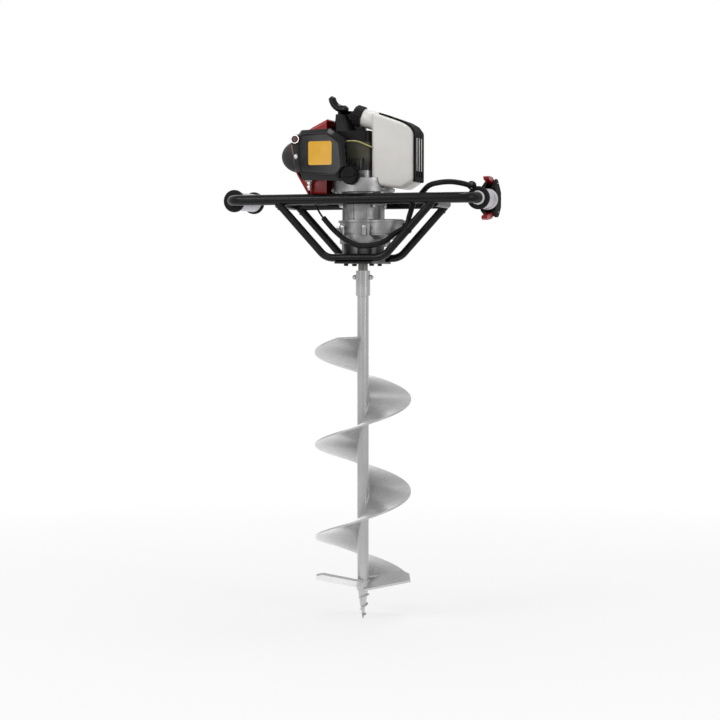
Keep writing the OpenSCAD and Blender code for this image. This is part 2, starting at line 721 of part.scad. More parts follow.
module clutch_housing() {
  color(alloy) difference() {
    union() {
      translate([0, 0, z_clutch]) cylinder(h = clutch_h, r = clutch_r);
      translate([0, 0, z_neck - lug_h]) cylinder(h = lug_h, r = clutch_r + 3);
      at_neck_lugs() translate([0, 0, z_neck - lug_h]) cylinder(h = lug_h, r = lug_r - 0.5);
      for (a = [20:40:340]) rotate([0, 0, a]) translate([clutch_r - 1, -1.5, z_clutch])
        cube([2.5, 3, clutch_h - 1]);
    }
    translate([0, 0, z_clutch + clutch_wall]) cylinder(h = clutch_h, r = clutch_r - clutch_wall);
    translate([0, 0, z_clutch - 1]) cylinder(h = clutch_h, d = input_d + 6);
    at_neck_lugs() translate([0, 0, z_neck - lug_h - 1]) cylinder(h = lug_h + 2,
      d = screw_d + 2 * run_gap);
  }
}

// Fan housing, flywheel and crank
fan_wall = 3;
neck_r = clutch_r + 1;
module fan_housing() {
  color(alloy) difference() {
    union() {
      difference() {
        translate([0, 0, z_fan]) cylinder(h = fan_h, r = fan_r);
        translate([0, 0, z_fan + fan_wall]) cylinder(h = fan_h, r = fan_r - fan_wall);
      }
      translate([0, 0, z_neck]) cylinder(h = neck_h + 1, r = neck_r);
      at_neck_lugs() translate([0, 0, z_neck]) cylinder(h = lug_h, r = lug_r - 0.5);
      at_fan_lugs() translate([0, 0, z_fan + 1]) cylinder(h = fan_h - 1, r = lug_r - 0.5);
    }
    translate([0, 0, z_neck - 1]) cylinder(h = neck_h + fan_h, r = neck_r - clutch_wall);
    at_neck_lugs() translate([0, 0, z_neck - 1]) cylinder(h = lug_h + 2, d = screw_d + 2 * run_gap);
    at_fan_lugs() translate([0, 0, z_fan - 1]) cylinder(h = fan_h + 2, d = screw_d + 2 * run_gap);
    for (a = [10:20:350]) rotate([0, 0, a]) translate([neck_r + 2, -2, z_fan - 1]) cube([8, 4,
      fan_wall + 2]);
  }
}
flywheel_r = fan_r - 13;
z_flywheel = z_fan + fan_wall + 3;
flywheel_h = fan_h - fan_wall - 5;
module flywheel() {
  color("gray") translate([0, 0, z_flywheel]) difference() {
    union() {
      cylinder(h = 6, r = flywheel_r - 6);
      cylinder(h = flywheel_h, r = crank_d / 2 + 6);
      for (a = [0:24:336]) rotate([0, 0, a]) translate([flywheel_r - 22, -1.25, 1])
        cube([22, 2.5, flywheel_h - 1]);
    }
    translate([0, 0, -1]) cylinder(h = flywheel_h + 2, d = crank_d + 2 * fixed_gap);
  }
}
module crankshaft() {
  color(steel) translate([0, 0, z_drum + drum_floor + 1])
    cylinder(h = z_starter - z_drum - drum_floor - 3, d = crank_d);
}
flange_t = 4;
core_gap = 12;
module cowl_plan(inset) {
  round_rect([-cowl_left + inset, -cowl_depth / 2 + inset], [cowl_right - inset,
    cowl_depth / 2 - inset], 10);
}
module crankcase() {
  color(alloy) difference() {
    union() {
      translate([0, 0, z_crankcase]) cylinder(h = flange_t, r = fan_r);
      translate([0, 0, z_crankcase]) linear_extrude(crankcase_h) cowl_plan(0);
      translate([0, 0, z_cowl - 1]) linear_extrude(cowl_h - 10) cowl_plan(core_gap);
      translate([-cowl_left + core_gap - 1, 0, z_cylinder]) rotate([0, 90, 0]) cylinder(h = 20,
        r = bore_r);
    }
    translate([0, 0, z_crankcase - 1]) cylinder(h = cowl_h + crankcase_h + 2, d = crank_d + 2 * run_gap);
    at_fan_lugs() translate([0, 0, z_crankcase - 1]) cylinder(h = 4, d = screw_d + 2 * run_gap);
  }
}
cowl_wall = 3;
louvre_step = 6;
louvre_h = 22;
module engine_cowl() {
  color("#45463f") difference() {
    translate([0, 0, z_cowl]) linear_extrude(cowl_h) cowl_plan(0);
    translate([0, 0, z_cowl - 1]) linear_extrude(cowl_h - cowl_wall + 1) cowl_plan(cowl_wall);
    translate([0, 0, z_cowl]) cylinder(h = cowl_h + 2, r = crank_d / 2 + 4);
    translate([-cowl_left - 1, -head_half - 2, z_cylinder - head_half]) cube([10, 2 * head_half + 4,
      z_cowl + cowl_h
      - cowl_wall - z_cylinder + head_half]);
    for (x = [-cowl_left + 12:louvre_step:cowl_right - 12]) translate([x, -cowl_depth / 2 - 1,
      z_cowl + 3])
      cube([3, cowl_depth + 2, louvre_h]);
  }
}

// Cylinder, plug, shroud and muffler
bore_r = 22;
head_half = 34;
x_base = -cowl_left + core_gap;
x_head = -125;
fin_step = 7.5;
fin_t = 2.4;
port_x = -90;
port_half = 16;
port_reach = 2.7;
module cylinder_barrel() {
  translate([x_head, 0, z_cylinder]) rotate([0, 90, 0]) cylinder(h = x_base - 1 - x_head, r = bore_r);
}
module engine_cylinder() {
  color(alloy) difference() {
    union() {
      cylinder_barrel();
      intersection() {
        translate([x_head, 0, z_cylinder]) rotate([90, 0, 90]) linear_extrude(x_base - x_head)
          round_rect([-head_half, -head_half], [head_half, head_half], 9);
        for (x = [x_head:fin_step:x_base - 16]) translate([x, -head_half - 1, z_cylinder - head_half - 1])
          cube([fin_t, 2 * head_half + 2, 2 * head_half + 2]);
      }
      translate([port_x - port_half, -head_half - port_reach, z_cylinder - port_half])
        cube([2 * port_half, 2 * (head_half + port_reach), 2 * port_half]);
    }
    translate([x_head - 1, 0, z_cylinder]) rotate([0, 90, 0]) cylinder(h = 12, d = plug_d + 2 * run_gap);
  }
}

plug_d = 12;
plug_hex = 19;
module spark_plug() {
  color("white") translate([x_head, 0, z_cylinder]) rotate([0, -90, 0]) {
    translate([0, 0, -8]) cylinder(h = 9, d = plug_d);
    translate([0, 0, fixed_gap]) cylinder(h = 9, d = plug_hex, $fn = 6);
    translate([0, 0, 8]) cylinder(h = 14, d1 = 11, d2 = 8);
    translate([0, 0, 21]) cylinder(h = 7, d = 6);
  }
}

shroud_wall = 3;
shroud_front = -40;
shroud_depth = 86;
shroud_bevel = 7;
x_shroud = -fan_r - 3;
plug_hole = 25;
module shroud_outline() {
  polygon([[x_shroud, z_cylinder + 84], [-99, z_cylinder + 61], [-146, z_cylinder + 24],
    [-135, z_cylinder - 34], [-111, z_fan], [x_shroud, z_fan]]);
}
module shroud_body(inset) {
  bevel = shroud_bevel;
  depth = shroud_depth - 2 * inset;
  stand(shroud_front + inset) hull() {
    translate([0, 0, bevel]) linear_extrude(depth - 2 * bevel) offset(delta = -inset) shroud_outline();
    linear_extrude(depth) offset(delta = -inset - bevel) shroud_outline();
  }
}
module cylinder_shroud() {
  color(red) difference() {
    shroud_body(0);
    shroud_body(shroud_wall);
    translate([2 * shroud_wall, 0, 0]) shroud_body(shroud_wall);
    translate([port_x, 0, z_cylinder]) rotate([90, 0, 0]) cylinder(h = far, r = port_half - 2);
    translate([port_x, 0, z_cylinder]) rotate([-90, 0, 0]) cylinder(h = far, r = port_half - 2);
    translate([-far, 0, z_cylinder]) rotate([0, 90, 0]) cylinder(h = 70, r = plug_hole);
  }
}
dome_r = 32;
dome_h = 43;
dome_wall = 3;
x_dome = -134;
module dome(r, h) {
  rotate_extrude() polygon([[0, 0], for (a = [0:10:90]) [r * cos(a), h * sin(a)]]);
}
module plug_cover() {
  color("#3a3a3e") difference() {
    translate([x_dome, 0, z_cylinder]) rotate([0, -90, 0]) dome(dome_r, dome_h);
    translate([x_dome, 0, z_cylinder]) rotate([0, -90, 0]) dome(dome_r - dome_wall,
      dome_h - dome_wall + 1);
    shroud_body(-weld_gap);
  }
}
muffler_y = shroud_front + shroud_depth + 6;
muffler_t = 40;
muffler_wall = 2;
muffler_low = [port_x - 36, z_cylinder - 36];
muffler_high = [port_x + 30, z_cylinder + 36];
outlet_at = [port_x - 22, z_cylinder - 22];
outlet_d = 12;
module muffler() {
  color("dimgray") difference() {
    union() {
      stand(muffler_y) linear_extrude(muffler_t) round_rect(muffler_low, muffler_high, 10);
      for (k = [0:4]) translate([muffler_low.x + 12, muffler_y + muffler_t - 0.5,
        muffler_low.y + 27 + 8 * k])
        cube([muffler_high.x - muffler_low.x - 24, 2, 4]);
      translate([port_x, head_half + port_reach, z_cylinder]) rotate([-90, 0, 0])
        cylinder(h = muffler_y - head_half - port_reach + 1, r = port_half - 4);
      translate([outlet_at.x, muffler_y + muffler_t - 1, outlet_at.y]) rotate([-90, 0, 0])
        cylinder(h = 9, d = outlet_d + 4);
    }
    stand(muffler_y + muffler_wall) linear_extrude(muffler_t - 2 * muffler_wall)
      round_rect(muffler_low + muffler_wall * [1, 1], muffler_high - muffler_wall * [1, 1], 8);
    translate([outlet_at.x, muffler_y + muffler_t / 2, outlet_at.y]) rotate([-90, 0, 0])
      cylinder(h = 40, d = outlet_d);
    translate([port_x, head_half, z_cylinder]) rotate([-90, 0, 0]) cylinder(h = 20, r = port_half - 7);
  }
}

// Carburettor and air cleaner
carb_y = shroud_front - 1;
carb_depth = 25;
base_y = carb_y - carb_depth;
venturi_d = 16;
module carburettor() {
  color(alloy) difference() {
    union() {
      translate([port_x, -head_half - port_reach, z_cylinder]) rotate([90, 0, 0])
        cylinder(h = 1 - carb_y - head_half - port_reach, r = port_half - 4);
      stand(base_y) linear_extrude(carb_depth) round_rect([port_x - 19, z_cylinder - 20], [port_x + 19,
        z_cylinder + 20], 6);
      stand(base_y) linear_extrude(5) round_rect([port_x - 25, z_cylinder - 14], [port_x + 25,
        z_cylinder + 14], 8);
      translate([port_x - 10, base_y + carb_depth / 2, z_cylinder + 19]) cylinder(h = 8, r = 9);
      translate([adjuster_at.x - 6, adjuster_at.y - 6, bracket_z]) cube([14, 12, 3]);
      translate([adjuster_at.x + 5, adjuster_at.y - 6, bracket_z]) cube([3, 12,
        z_cylinder - 19 - bracket_z]);
    }
    translate([port_x, 0, z_cylinder]) rotate([90, 0, 0]) cylinder(h = 80, d = venturi_d);
    translate([adjuster_at.x, adjuster_at.y, bracket_z - 1]) cylinder(h = 5,
      d = adjuster_d + 2 * fixed_gap);
  }
}
base_front = base_y - base_t;
cover_front = base_front - cover_depth;
knob_at = [-116, z_cylinder + 31];
screw_at = [-116, z_cylinder - 4];
choke_at = [-4, z_cylinder - 43];
choke_r = 17;
knob_r = 9.4;
knob_h = 12;
knob_screw_d = 5;
ear_t = 6;
module air_outline() {
  polygon([[-127, z_cylinder + 24], [-106, z_cylinder + 50], [-46, z_cylinder + 52], [-14,
    z_cylinder + 30],
    [-8, z_cylinder - 28], [-24, z_cylinder - 54], [-106, z_cylinder - 51], [-122, z_cylinder - 26]]);
}
module face_outline() {
  polygon([[-104, z_cylinder + 42], [-48, z_cylinder + 43], [-21, z_cylinder + 23], [-15,
    z_cylinder - 26],
    [-29, z_cylinder - 44], [-104, z_cylinder - 40], [-110, z_cylinder - 22], [-112, z_cylinder + 20]]);
}
module along_back(p, y) { translate([p.x, y, p.y]) rotate([-90, 0, 0]) children(); }
module air_cleaner_base() {
  color(black) difference() {
    union() {
      stand(base_front) linear_extrude(base_t) air_outline();
      along_back(knob_at, base_front) cylinder(h = base_t, r = knob_r + 1.5);
      along_back(choke_at, base_front) cylinder(h = base_t, r = choke_r + 2);
    }
    along_back([port_x, z_cylinder], base_front - 1) cylinder(h = base_t + 2, d = venturi_d);
    along_back(knob_at, base_front - 1) cylinder(h = base_t - 1, d = knob_screw_d + 2 * run_gap);
    along_back(screw_at, base_front - 1) cylinder(h = base_t - 1, d = knob_screw_d + 2 * fixed_gap);
    along_back(choke_at, base_front - 1) cylinder(h = base_t - 1, d = choke_pin_d + 2 * run_gap);
  }
}
module air_filter() {
  color("#8a8578") stand(base_front - 11) linear_extrude(11)
    round_rect([-100, z_cylinder - 28], [-38, z_cylinder + 30], 8);
}
module cover_body(inset) {
  stand(cover_front + inset) hull() {
    linear_extrude(0.5) offset(delta = -inset) face_outline();
    translate([0, 0, cover_depth - ear_t - inset]) linear_extrude(ear_t + inset) offset(delta = -inset)
      air_outline();
  }
}
module air_cleaner_cover() {
  color(black) difference() {
    union() {
      cover_body(0);
      along_back(knob_at, base_front - ear_t) cylinder(h = ear_t, r = knob_r + 1);
      along_back(screw_at, base_front - ear_t - 3) cylinder(h = ear_t + 3, r = 8);
    }
    difference() {
      cover_body(3);
      along_back(knob_at, base_front - 20) cylinder(h = 30, r = knob_r + 1);
      along_back(screw_at, base_front - 20) cylinder(h = 30, r = 8);
    }
    along_back(choke_at, cover_front - 1) cylinder(h = cover_depth + 2, r = choke_r + 2);
    along_back(knob_at, cover_front - 1) cylinder(h = cover_depth - ear_t + 1, r = knob_r + free_gap);
    along_back(knob_at, cover_front - 1) cylinder(h = cover_depth + 2, d = knob_screw_d + 2 * run_gap);
    along_back(screw_at, cover_front - 1) cylinder(h = cover_depth + 2, d = knob_screw_d + 2 * fixed_gap);
    along_back(screw_at, cover_front - 1) cylinder(h = cover_depth - ear_t - 2, r = 4.5 + free_gap);
    for (k = [-1:1]) translate([-30, base_front - ear_t + 1, z_cylinder + 14 * k - 4]) cube([40, 4, 8]);
  }
}
module cover_screw() {
  color(steel) {
    along_back(screw_at, base_front - ear_t - 3) cylinder(h = ear_t + 3 + base_t - 3, d = knob_screw_d);
    along_back(screw_at, base_front - ear_t - 6) cylinder(h = 3, r = 4.5);
  }
}
module cover_knob() {
  color(black) {
    along_back(knob_at, base_front - ear_t - free_gap) cylinder(h = ear_t + base_t - 3, d = knob_screw_d);
    along_back(knob_at, base_front - ear_t - free_gap - knob_h) linear_extrude(knob_h) knurl(knob_r,
      12, 1.2);
  }
}
choke_pin_d = 8;
choke_h = 12;
module choke_knob() {
  color(black) {
    along_back(choke_at, base_front - free_gap - 1) cylinder(h = base_t - 2, d = choke_pin_d);
    along_back(choke_at, base_front - free_gap - choke_h) {
      linear_extrude(choke_h) knurl(choke_r, 24, 1.2);
      translate([-choke_r + 4, -3, -4]) cube([2 * choke_r - 8, 6, 5]);
    }
  }
}

// Fuel tank, cap, guard and line
tank_front = -45;
x_tank = cowl_right + 4;
tank_round = 8;
tank_seat = 0.3;
cap_angle = 18;
filler_r = 19;
spout_r = 16;
filler_from = [x_tank + 6, -20, z_cylinder + 67.5];
filler_len = 32;
spout_len = 11;
cap_len = 19;
module tank_outline() {
  offset(r = tank_round) offset(delta = -tank_round) polygon([[x_tank, z_cylinder - 50], [x_tank + 19,
    z_cylinder - 64],
    [x_tank + 62, z_cylinder - 71], [x_tank + 87, z_cylinder - 56], [x_tank + 87, z_cylinder + 44],
    [x_tank + 78, z_cylinder + 56], [x_tank + 64, z_cylinder + 64], [x_tank, z_cylinder + 87]]);
}
module along_filler() { translate(filler_from) rotate([0, cap_angle - 90, 0]) children(); }
module fuel_tank() {
  color("#e8e6e2") difference() {
    union() {
      stand(tank_front) hull() {
        translate([0, 0, tank_round]) linear_extrude(tank_depth - 2 * tank_round) tank_outline();
        linear_extrude(tank_depth) offset(delta = -tank_round * 0.7) tank_outline();
        translate([0, 0, tank_round * 0.3]) linear_extrude(tank_depth - tank_round * 0.6)
          offset(delta = -tank_round * 0.25) tank_outline();
      }
      along_filler() cylinder(h = filler_len, r = filler_r);
      along_filler() cylinder(h = filler_len + spout_len, r = spout_r);
    }
    translate([0, 0, z_fan - 10]) cylinder(h = fan_h + 10 + flange_t + tank_seat, r = fan_r + 2);
    along_filler() translate([0, 0, filler_len - 10]) cylinder(h = 60, r = spout_r - 3);
  }
}
module fuel_cap() {
  color(black) along_filler() translate([0, 0, filler_len + free_gap]) difference() {
    union() {
      linear_extrude(cap_len - 3) knurl(cap_d / 2, 24, 1.2);
      cylinder(h = cap_len, r = cap_d / 2 - 3);
    }
    translate([0, 0, -1]) cylinder(h = spout_len + 1.5, r = spout_r + free_gap);
  }
}
guard_t = 3;
guard_gap = 0.4;
guard_from = tank_front + 8;
guard_depth = tank_depth - 14;
guard_slots = 3;
guard_start = 14;
guard_end = 70;
slot_w = 8;
module tank_guard() {
  color(black) difference() {
    stand(guard_from) linear_extrude(guard_depth) difference() {
      offset(delta = guard_gap + guard_t) tank_outline();
      offset(delta = guard_gap) tank_outline();
    }
    translate([x_tank + guard_start - far, -far, z_fan - far]) cube([far, 2 * far, 3 * far]);
    translate([x_tank + guard_end - far, -far, z_cylinder - 30 - far]) cube([far, 2 * far, far]);
    translate([x_tank - far, -far, z_cylinder - 56 - far]) cube([3 * far, 2 * far, far]);
    for (k = [0:guard_slots - 1]) let(step = guard_depth / (guard_slots + 1))
      translate([x_tank + 70, guard_from + step * (k + 1) - slot_w / 2, z_cylinder - 46])
        cube([40, slot_w, 80]);
  }
}
line_y = base_y + 10;
line_end = [x_tank + 11, z_cylinder + 13];
line_route = [[port_x + 19.3, line_y, z_cylinder + 6], [port_x + 24, line_y, z_cylinder + 6],
  [-58, line_y, z_cylinder + 9], [-48, line_y + 2, z_cylinder + 17], [-30, line_y + 2, z_cylinder + 25],
  [-10, line_y + 2, z_cylinder + 28], [8, line_y + 1, z_cylinder + 27], [24, line_y - 1, z_cylinder + 22],
  [line_end.x - 7, tank_front - 11, line_end.y + 4], [line_end.x - 1, tank_front - 6, line_end.y + 1],
  [line_end.x, tank_front - 3, line_end.y], [line_end.x, tank_front - weld_gap, line_end.y]];
line_d = 5;
module fuel_line() { color("#c9b26a") swept_tube(smooth_path(line_route, 3), line_d, 10); }

// Recoil starter
turret_h = 38;
rope_at = [-50, 0];
rope_d = 3.5;
z_rope = z_turret + turret_h;
reel_r = 25;
reel_post = 10;
reel_h = 13;
module starter_housing() {
  color(black) difference() {
    union() {
      translate([0, 0, z_starter]) linear_extrude(starter_h) cowl_plan(0);
      hull() {
        translate([0, 0, z_turret - 1]) linear_extrude(1) round_rect([-cowl_left, -22],
          [-cowl_left + 38, 22], 8);
        translate([0, 0, z_rope - 1]) linear_extrude(1) round_rect([-cowl_left, -9], [-cowl_left + 18,
          9], 6);
      }
    }
    difference() {
      translate([0, 0, z_starter - 1]) cylinder(h = starter_h - cowl_wall, r = reel_r + 2);
      translate([0, 0, z_starter - 2]) cylinder(h = starter_h, d = reel_post);
    }
    translate([rope_at.x, rope_at.y, z_rope - 24]) cylinder(h = 40, d = rope_d + 2 * free_gap);
    for (a = [0:30:330]) rotate([0, 0, a]) translate([reel_post / 2 + 4, -1.5,
      z_turret - cowl_wall - 2]) cube([12, 3, 10]);
  }
}
module starter_reel() {
  color("dimgray") translate([0, 0, z_starter + 3]) rotate_extrude() polygon([[reel_post / 2 + run_gap,
    0], [reel_r, 0],
    [reel_r, 2], [reel_r - 7, 4], [reel_r - 7, reel_h - 4], [reel_r, reel_h - 2], [reel_r, reel_h],
    [reel_post / 2 + run_gap, reel_h]]);
}
module starter_rope() {
  color("white") translate([rope_at.x, rope_at.y, z_rope - 18]) cylinder(h = 18 + stem_gap, d = rope_d);
}
stem_gap = 0.5;
horn_r = 26;
horn_d = 14;
horn_rise = 8;
horn_from = 176;
horn_to = 292;
horn_x = rope_at.x + horn_r * cos(70);
z_horn = z_rope + horn_rise + horn_d / 2 + horn_r * sin(70);
horn_steps = 24;
module starter_handle() {
  angles = [for (i = [0:horn_steps]) horn_from + (horn_to - horn_from) * i / horn_steps];
  color(black) {
    translate([rope_at.x, rope_at.y, z_rope + stem_gap]) cylinder(h = horn_rise + horn_d / 2, d1 = 9,
      d2 = 12);
    swept_tube([for (a = angles) [horn_x + horn_r * cos(a), rope_at.y, z_horn + horn_r * sin(a)]],
      [for (i = [0:horn_steps]) let(e = min(i, horn_steps - i) / 3)
        horn_d * (e >= 1 ? 1 : 0.35 + 0.65 * sin(90 * e))], 16);
  }
}

// Bit
coupling_drop = 14;
z_coupling = bit_len - coupling_drop;
nut_h = 5;
head_w = 10;
module coupling_bore(extra) {
  translate([0, 0, z_coupling]) rotate([0, 90, 0]) cylinder(h = 2 * sleeve_d, d = bolt_d + 2 * extra,
    center = true);
}
module auger_tube() {
  color(steel) difference() {
    union() {
      translate([0, 0, tip_len]) cylinder(h = bit_len - sleeve_len - tip_len + 1, d = tube_d);
      translate([0, 0, bit_len - sleeve_len]) cylinder(h = sleeve_len, d = sleeve_d);
    }
    translate([0, 0, bit_len - shaft_grip - 1]) cylinder(h = shaft_grip + 2, d = shaft_d + 2 * run_gap);
    coupling_bore(run_gap);
  }
}
module coupling_bolt() {
  color(steel) translate([0, 0, z_coupling]) rotate([0, 90, 0]) {
    cylinder(h = sleeve_d + 2 * nut_h + 4, d = bolt_d, center = true);
    for (s = [0, 1]) mirror([0, 0, s]) translate([0, 0, sleeve_d / 2 + 0.2]) cylinder(h = nut_h,
      d = head_w, $fn = 6);
  }
}
cutter_turn = 18;
cutter_rise = 11;
cutter_tilt = 27;
hub_r = tube_d / 2 + 2;
hub_h = 20;
z_wing = tip_len + 10;
module cutter_solid(extra) {
  translate([0, 0, tip_len - extra]) cylinder(h = hub_h + 2 * extra, r = hub_r + extra);
  for (s = [0, 180]) rotate([0, 0, cutter_turn + s]) translate([0, 0, z_wing]) rotate([0, -cutter_rise,
    0])
    rotate([cutter_tilt, 0, 0]) translate([0, -cutter_w / 2 - extra, -cutter_t / 2 - extra])
      linear_extrude(cutter_t + 2 * extra)
      polygon([[0, 0], [(bit_d / 2 - 3) / cos(cutter_rise), 0], [(bit_d / 2 - 3) / cos(cutter_rise),
        cutter_w * 0.6],
        [bit_d / 2 - 14, cutter_w + 2 * extra], [0, cutter_w + 2 * extra]]);
}
module cutter_blades() {
  color(steel) difference() {
    cutter_solid(0);
    translate([0, 0, tip_len - 40]) cylinder(h = 140, d = tube_d + 2 * weld_gap);
    translate([0, 0, -1]) cylinder(h = tip_len + 1, r = hub_r + 1);
  }
}
stations = 36;
flight_low = tip_len + 24;
flight_lag = 23;
module auger_flight() {
  count = ceil(stations * flight_turns);
  step = 360 * flight_turns / count;
  inner = (tube_d / 2 + weld_gap) / cos(step / 2);
  points = [for (i = [0:count]) let(a = cutter_turn + flight_lag + i * step,
    z = flight_low + flight_pitch * i * step / 360)
    each [[inner * cos(a), inner * sin(a), z], [bit_d / 2 * cos(a), bit_d / 2 * sin(a), z],
      [bit_d / 2 * cos(a), bit_d / 2 * sin(a), z + flight_t], [inner * cos(a), inner * sin(a),
        z + flight_t]]];
  walls = [for (i = [0:count - 1], k = [0:3]) let(a = 4 * i + k, b = 4 * i + (k + 1) % 4)
    each [[a, b, b + 4], [a, b + 4, a + 4]]];
  color(steel) difference() {
    polyhedron(points, concat(walls, [[3, 2, 1, 0], [for (k = [0:3]) 4 * count + k]]), convexity = 8);
    cutter_solid(weld_gap);
  }
}
thread_turns = 2;
thread_r = 4.5;
thread_steps = 16;
module auger_tip() {
  count = thread_turns * thread_steps;
  core = function(z) 1 + (tube_d / 2 - 1) * z / tip_len;
  points = [for (i = [0:count]) let(a = 360 * i / thread_steps, z = 7 + (tip_len - 16) * i / count,
    r = core(z) - 0.8)
    each [[r * cos(a), r * sin(a), z - 2], [(r + 0.8 + thread_r) * cos(a), (r + 0.8 + thread_r)
      * sin(a), z],
      [r * cos(a), r * sin(a), z + 2]]];
  walls = [for (i = [0:count - 1], k = [0:2]) let(a = 3 * i + k, b = 3 * i + (k + 1) % 3)
    each [[a, b, b + 3], [a, b + 3, a + 3]]];
  color(steel) {
    cylinder(h = tip_len, r1 = 1, r2 = tube_d / 2);
    polyhedron(points, concat(walls, [[2, 1, 0], [for (k = [0:2]) 3 * count + k]]), convexity = 8);
  }
}

handlebar();
rear_hoop();
front_cradle();
rear_cradle();
base_plate();
mount_bolts();
left_grip();
right_grip();
grip_collars();
throttle_housing();
throttle_trigger();
throttle_lock();
stop_switch();
throttle_pins();
throttle_conduit();
throttle_cable();
cable_adjuster();
cable_tie();
gearbox_lower();
gearbox_upper();
housing_bolts();
oil_seal();
gearbox_bearings();
output_shaft();
output_gear();
lay_shaft();
lay_gear();
clutch_drum();
clutch_shoes();
clutch_housing();
fan_housing();
flywheel();
crankshaft();
crankcase();
engine_cowl();
engine_cylinder();
spark_plug();
cylinder_shroud();
plug_cover();
muffler();
carburettor();
air_cleaner_base();
air_filter();
air_cleaner_cover();
cover_screw();
cover_knob();
choke_knob();
fuel_tank();
fuel_cap();
tank_guard();
fuel_line();
starter_housing();
starter_reel();
starter_rope();
starter_handle();
auger_tube();
coupling_bolt();
auger_flight();
cutter_blades();
auger_tip();
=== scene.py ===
# %% [markdown]
# # A petrol earth auger, dressed for the studio
# The machine is a small two-stroke engine in a black tube frame. It turns a grey steel bit through a clutch
# and a gearbox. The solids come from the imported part. This lesson gives each of them a finish, replaces the
# few whose smooth curves the solids only hint at, and adds the small things that make a machine look made:
# weld beads, washers, a screw's recess, a laid rope. Sizes are in millimetres unless a comment says
# otherwise.

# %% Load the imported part
import math

import bmesh
import bpy
from mathutils import Matrix, Vector


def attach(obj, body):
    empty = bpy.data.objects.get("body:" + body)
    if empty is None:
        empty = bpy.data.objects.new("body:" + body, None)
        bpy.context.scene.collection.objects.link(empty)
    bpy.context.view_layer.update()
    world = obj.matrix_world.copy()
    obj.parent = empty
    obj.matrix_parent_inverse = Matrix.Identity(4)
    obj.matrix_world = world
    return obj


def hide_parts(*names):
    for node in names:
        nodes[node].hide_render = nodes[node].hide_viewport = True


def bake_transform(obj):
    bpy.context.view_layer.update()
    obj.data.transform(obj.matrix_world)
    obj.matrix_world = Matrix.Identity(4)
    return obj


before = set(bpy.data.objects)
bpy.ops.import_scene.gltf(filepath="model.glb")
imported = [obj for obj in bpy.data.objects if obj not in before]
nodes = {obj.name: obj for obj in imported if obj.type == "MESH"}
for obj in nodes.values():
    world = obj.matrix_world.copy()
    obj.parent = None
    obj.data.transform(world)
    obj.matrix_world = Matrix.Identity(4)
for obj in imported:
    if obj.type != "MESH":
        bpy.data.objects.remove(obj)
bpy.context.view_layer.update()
scene = bpy.context.scene
scene.view_settings.view_transform = "Standard"
mm = 0.001

# %% [markdown]
# ## The camera
# The photograph was taken from far away, a little above the middle of the machine and to its right. A long
# lens four metres off gives the same flat perspective. The camera tips down by a few degrees to keep the
# whole machine in the middle of the picture.

# %% Camera
turn = math.radians(18)
camera_far, eye_height, aim_height = 4.0, 0.70, 0.538  # metres
aim_left = 6.2
focal_length, sensor_width = 96.6, 36
to_right = Vector((math.cos(turn), math.sin(turn), 0))
stand = Vector((camera_far * math.sin(turn), -camera_far * math.cos(turn), eye_height))
camera_data = bpy.data.cameras.new("studio_camera")
camera_data.lens = focal_length
camera_data.sensor_width = sensor_width
camera = bpy.data.objects.new("studio_camera", camera_data)
camera.location = stand - aim_left * mm * to_right
camera.rotation_euler = (math.radians(90) - math.atan2(eye_height - aim_height, camera_far), 0, turn)
scene.collection.objects.link(camera)
scene.camera = camera
print("camera at", [round(v, 3) for v in camera.location])

# %% [markdown]
# ## The world
# A catalogue picture has white all round. A world that is white in every way would also flood the machine
# with light from all sides and wash its shapes out. So it is white to the camera and to reflections, and
# gentler as a light. The light path tells the two apart.

# %% World
world_as_light, world_as_seen = 0.34, 1.0


def add_node(tree, kind, values=None, links=None):
    """Adds a shader node, sets some of its sockets and links others to the outputs of earlier nodes."""
    made = tree.nodes.new(kind)
    for socket, value in (values or {}).items():
        made.inputs[socket].default_value = value
    for socket, source in (links or {}).items():
        tree.links.new(source, made.inputs[socket])
    return made


def calculate(tree, operation, first, second):
    math_node = add_node(tree, "ShaderNodeMath", links={0: first, 1: second})
    math_node.operation = operation
    return math_node.outputs[0]


def seen_directly(tree):
    """1 for rays that show a thing, also in a mirror or through glass, and 0 for rays that only light."""
    paths = add_node(tree, "ShaderNodeLightPath").outputs
    seen = calculate(tree, "MAXIMUM", paths["Is Camera Ray"], paths["Is Glossy Ray"])
    return calculate(tree, "MAXIMUM", seen, paths["Is Transmission Ray"])


world = bpy.data.worlds.new("studio")
scene.world = world
world.use_nodes = True
tree = world.node_tree
tree.nodes.clear()
level = add_node(tree, "ShaderNodeMapRange", {"To Min": world_as_light, "To Max": world_as_seen},
                 {"Value": seen_directly(tree)})
sky = add_node(tree, "ShaderNodeBackground", {"Color": (1, 1, 1, 1)}, {"Strength": level.outputs[0]})
add_node(tree, "ShaderNodeOutputWorld", links={"Surface": sky.outputs[0]})
print("world nodes:", len(tree.nodes))

# %% [markdown]
# ## The floor
# The machine stands on a white paper sheet. Near the machine only part of what the camera sees of the sheet
# glows, so it shows a faint shadow. Further off it glows all over and runs into the background without a
# horizon. A curved backdrop would do this too, but a flat disc has no bend that shows.

